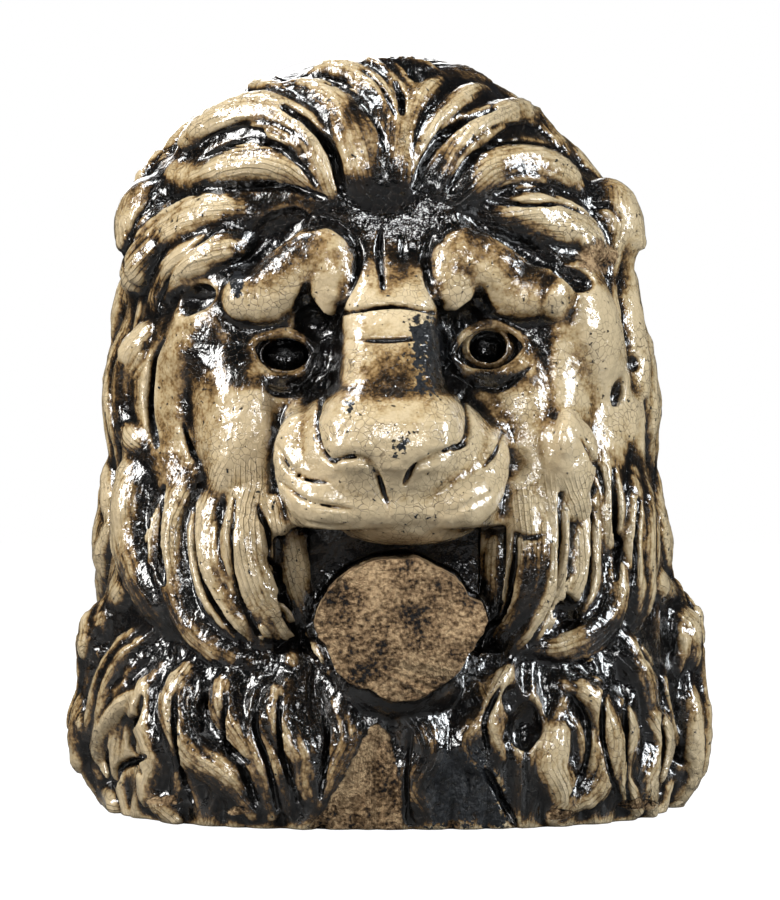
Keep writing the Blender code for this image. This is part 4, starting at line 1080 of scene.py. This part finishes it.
def made(kind, output, inputs, **settings):
    """What a node puts out, its inputs given as numbers, colours or links."""
    node = nodes.new("ShaderNode" + kind)
    for name, value in settings.items():
        setattr(node, name, value)
    for name, value in inputs:
        socket = node.inputs[name]
        if isinstance(value, bpy.types.NodeSocket):
            links.new(value, socket)
        else:
            socket.default_value = (*value, 1) if socket.type == "RGBA" else value
    return node.outputs[output]


def attribute(name):
    return made("Attribute", "Fac", (), attribute_name=name)


def maths(operation, *values, clamp=False):
    """The values put together one after another."""
    result = values[0]
    for value in values[1:]:
        pair = ((0, result), (1, value))
        result = made("Math", "Value", pair, operation=operation, use_clamp=clamp)
    return result


def times(*values):
    return maths("MULTIPLY", *values)


def noise(scale, detail, strength=1.0):
    cloud = made("TexNoise", "Fac", (("Scale", scale), ("Detail", detail), ("Vector", place)))
    return cloud if strength == 1.0 else times(cloud, strength)


def spread(value, low, high, bottom=0.0, top=1.0):
    """A soft step from bottom to top as the value goes from low to high."""
    ends = (("From Min", low), ("From Max", high), ("To Min", bottom), ("To Max", top))
    return made("MapRange", "Result", (*ends, ("Value", value)), interpolation_type="SMOOTHSTEP")


def ramp(value, stops):
    node = nodes.new("ShaderNodeValToRGB")
    elements = node.color_ramp.elements
    elements[0].position, elements[0].color = stops[0][0], (*stops[0][1], 1)
    elements[1].position, elements[1].color = stops[-1][0], (*stops[-1][1], 1)
    for position, colour in stops[1:-1]:
        elements.new(position).color = (*colour, 1)
    links.new(value, node.inputs["Fac"])
    return node.outputs["Color"]


def blend(share, first, second):
    """The first colour where the share is nought, and the second where it is one."""
    return made("Mix", COLOUR_OUT, ((0, share), (COLOUR_A, first), (COLOUR_B, second)), data_type="RGBA")


def bumped(height, strength, socket):
    """The height as a bump that leads to one of the shader's normals."""
    inputs = (("Strength", strength), ("Distance", BUMP_DISTANCE), ("Height", height))
    links.new(made("Bump", "Normal", inputs), shader.inputs[socket])


comb = maths("SINE", maths("ADD", times(attribute("strand"), 2.4), noise(45, 2, 7.0)), 0.0)
comb = times(spread(comb, 0.15, 1.0), attribute("cover"), spread(noise(22, 2), 0.35, 0.6, 0.25, 1.0))
# How dark the colour lies: glaze gathered in the folds, the patches with their painted shade, and noise.
glaze_and_shade_depth = maths(
    "ADD", times(attribute("crease"), 2.2), times(attribute("hollow"), 3.2), attribute("dark"),
    noise(30, 5, 0.95), noise(170, 5, 0.7), noise(620, 4, 0.55), times(comb, 0.12), GLAZE_BASE,
)

wander = made("TexNoise", "Color", (("Scale", WANDER_SCALE), ("Vector", place)))
bent = made(
    "VectorMath", "Vector", ((0, wander), (1, 3 * (CRACK_WANDER,)), (2, place)), operation="MULTIPLY_ADD"
)
cells = made(
    "TexVoronoi", "Distance", (("Scale", CRACK_SCALE), ("Vector", bent)), feature="DISTANCE_TO_EDGE"
)
crackle = spread(cells, 0.0, 0.045, 1.0, 0.0)
crackle = times(crackle, spread(noise(40, 2), 0.36, 0.64, 0.1, 0.75))

iron = spread(maths("ADD", attribute("iron"), noise(330, 7, 2.3)), 1.57, 1.71)
grit = ramp(maths("ADD", noise(500, 6, 0.5), noise(70, 5, 0.5)), GRIT_STOPS)
bare = spread(maths("ADD", attribute("bare"), noise(140, 4, 0.8)), 0.85, 1.0)
colour = blend(crackle, ramp(glaze_and_shade_depth, GLAZE_STOPS), CRACK_COLOUR)
colour = blend(bare, blend(iron, colour, IRON_COLOUR), grit)
links.new(colour, shader.inputs["Base Color"])

gloss = maths("ADD", times(bare, 0.6), times(iron, 0.25), 0.12, noise(60, 3, 0.2), clamp=True)
links.new(gloss, shader.inputs["Roughness"])
roughness = times(noise(380, 6, 4.0), maths("MAXIMUM", bare, times(iron, 0.9)))
bumped(maths(
    "ADD", noise(65, 2, 2.2), noise(190, 3), times(comb, -0.6), times(crackle, -0.25), roughness
), 0.9, "Normal")
bumped(maths("ADD", noise(65, 2, 1.8), noise(230, 3, 0.8)), 0.8, "Coat Normal")
coat = maths("SUBTRACT", 1.0, maths("MAXIMUM", bare, times(iron, 0.35)))
links.new(coat, shader.inputs["Coat Weight"])
shader.inputs["Coat Roughness"].default_value = 0.03
shader.inputs["Coat IOR"].default_value = 1.7
shader.inputs["Specular IOR Level"].default_value = 0.25
mesh.materials.append(glaze)

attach(lion, "root")
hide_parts("lion_head")
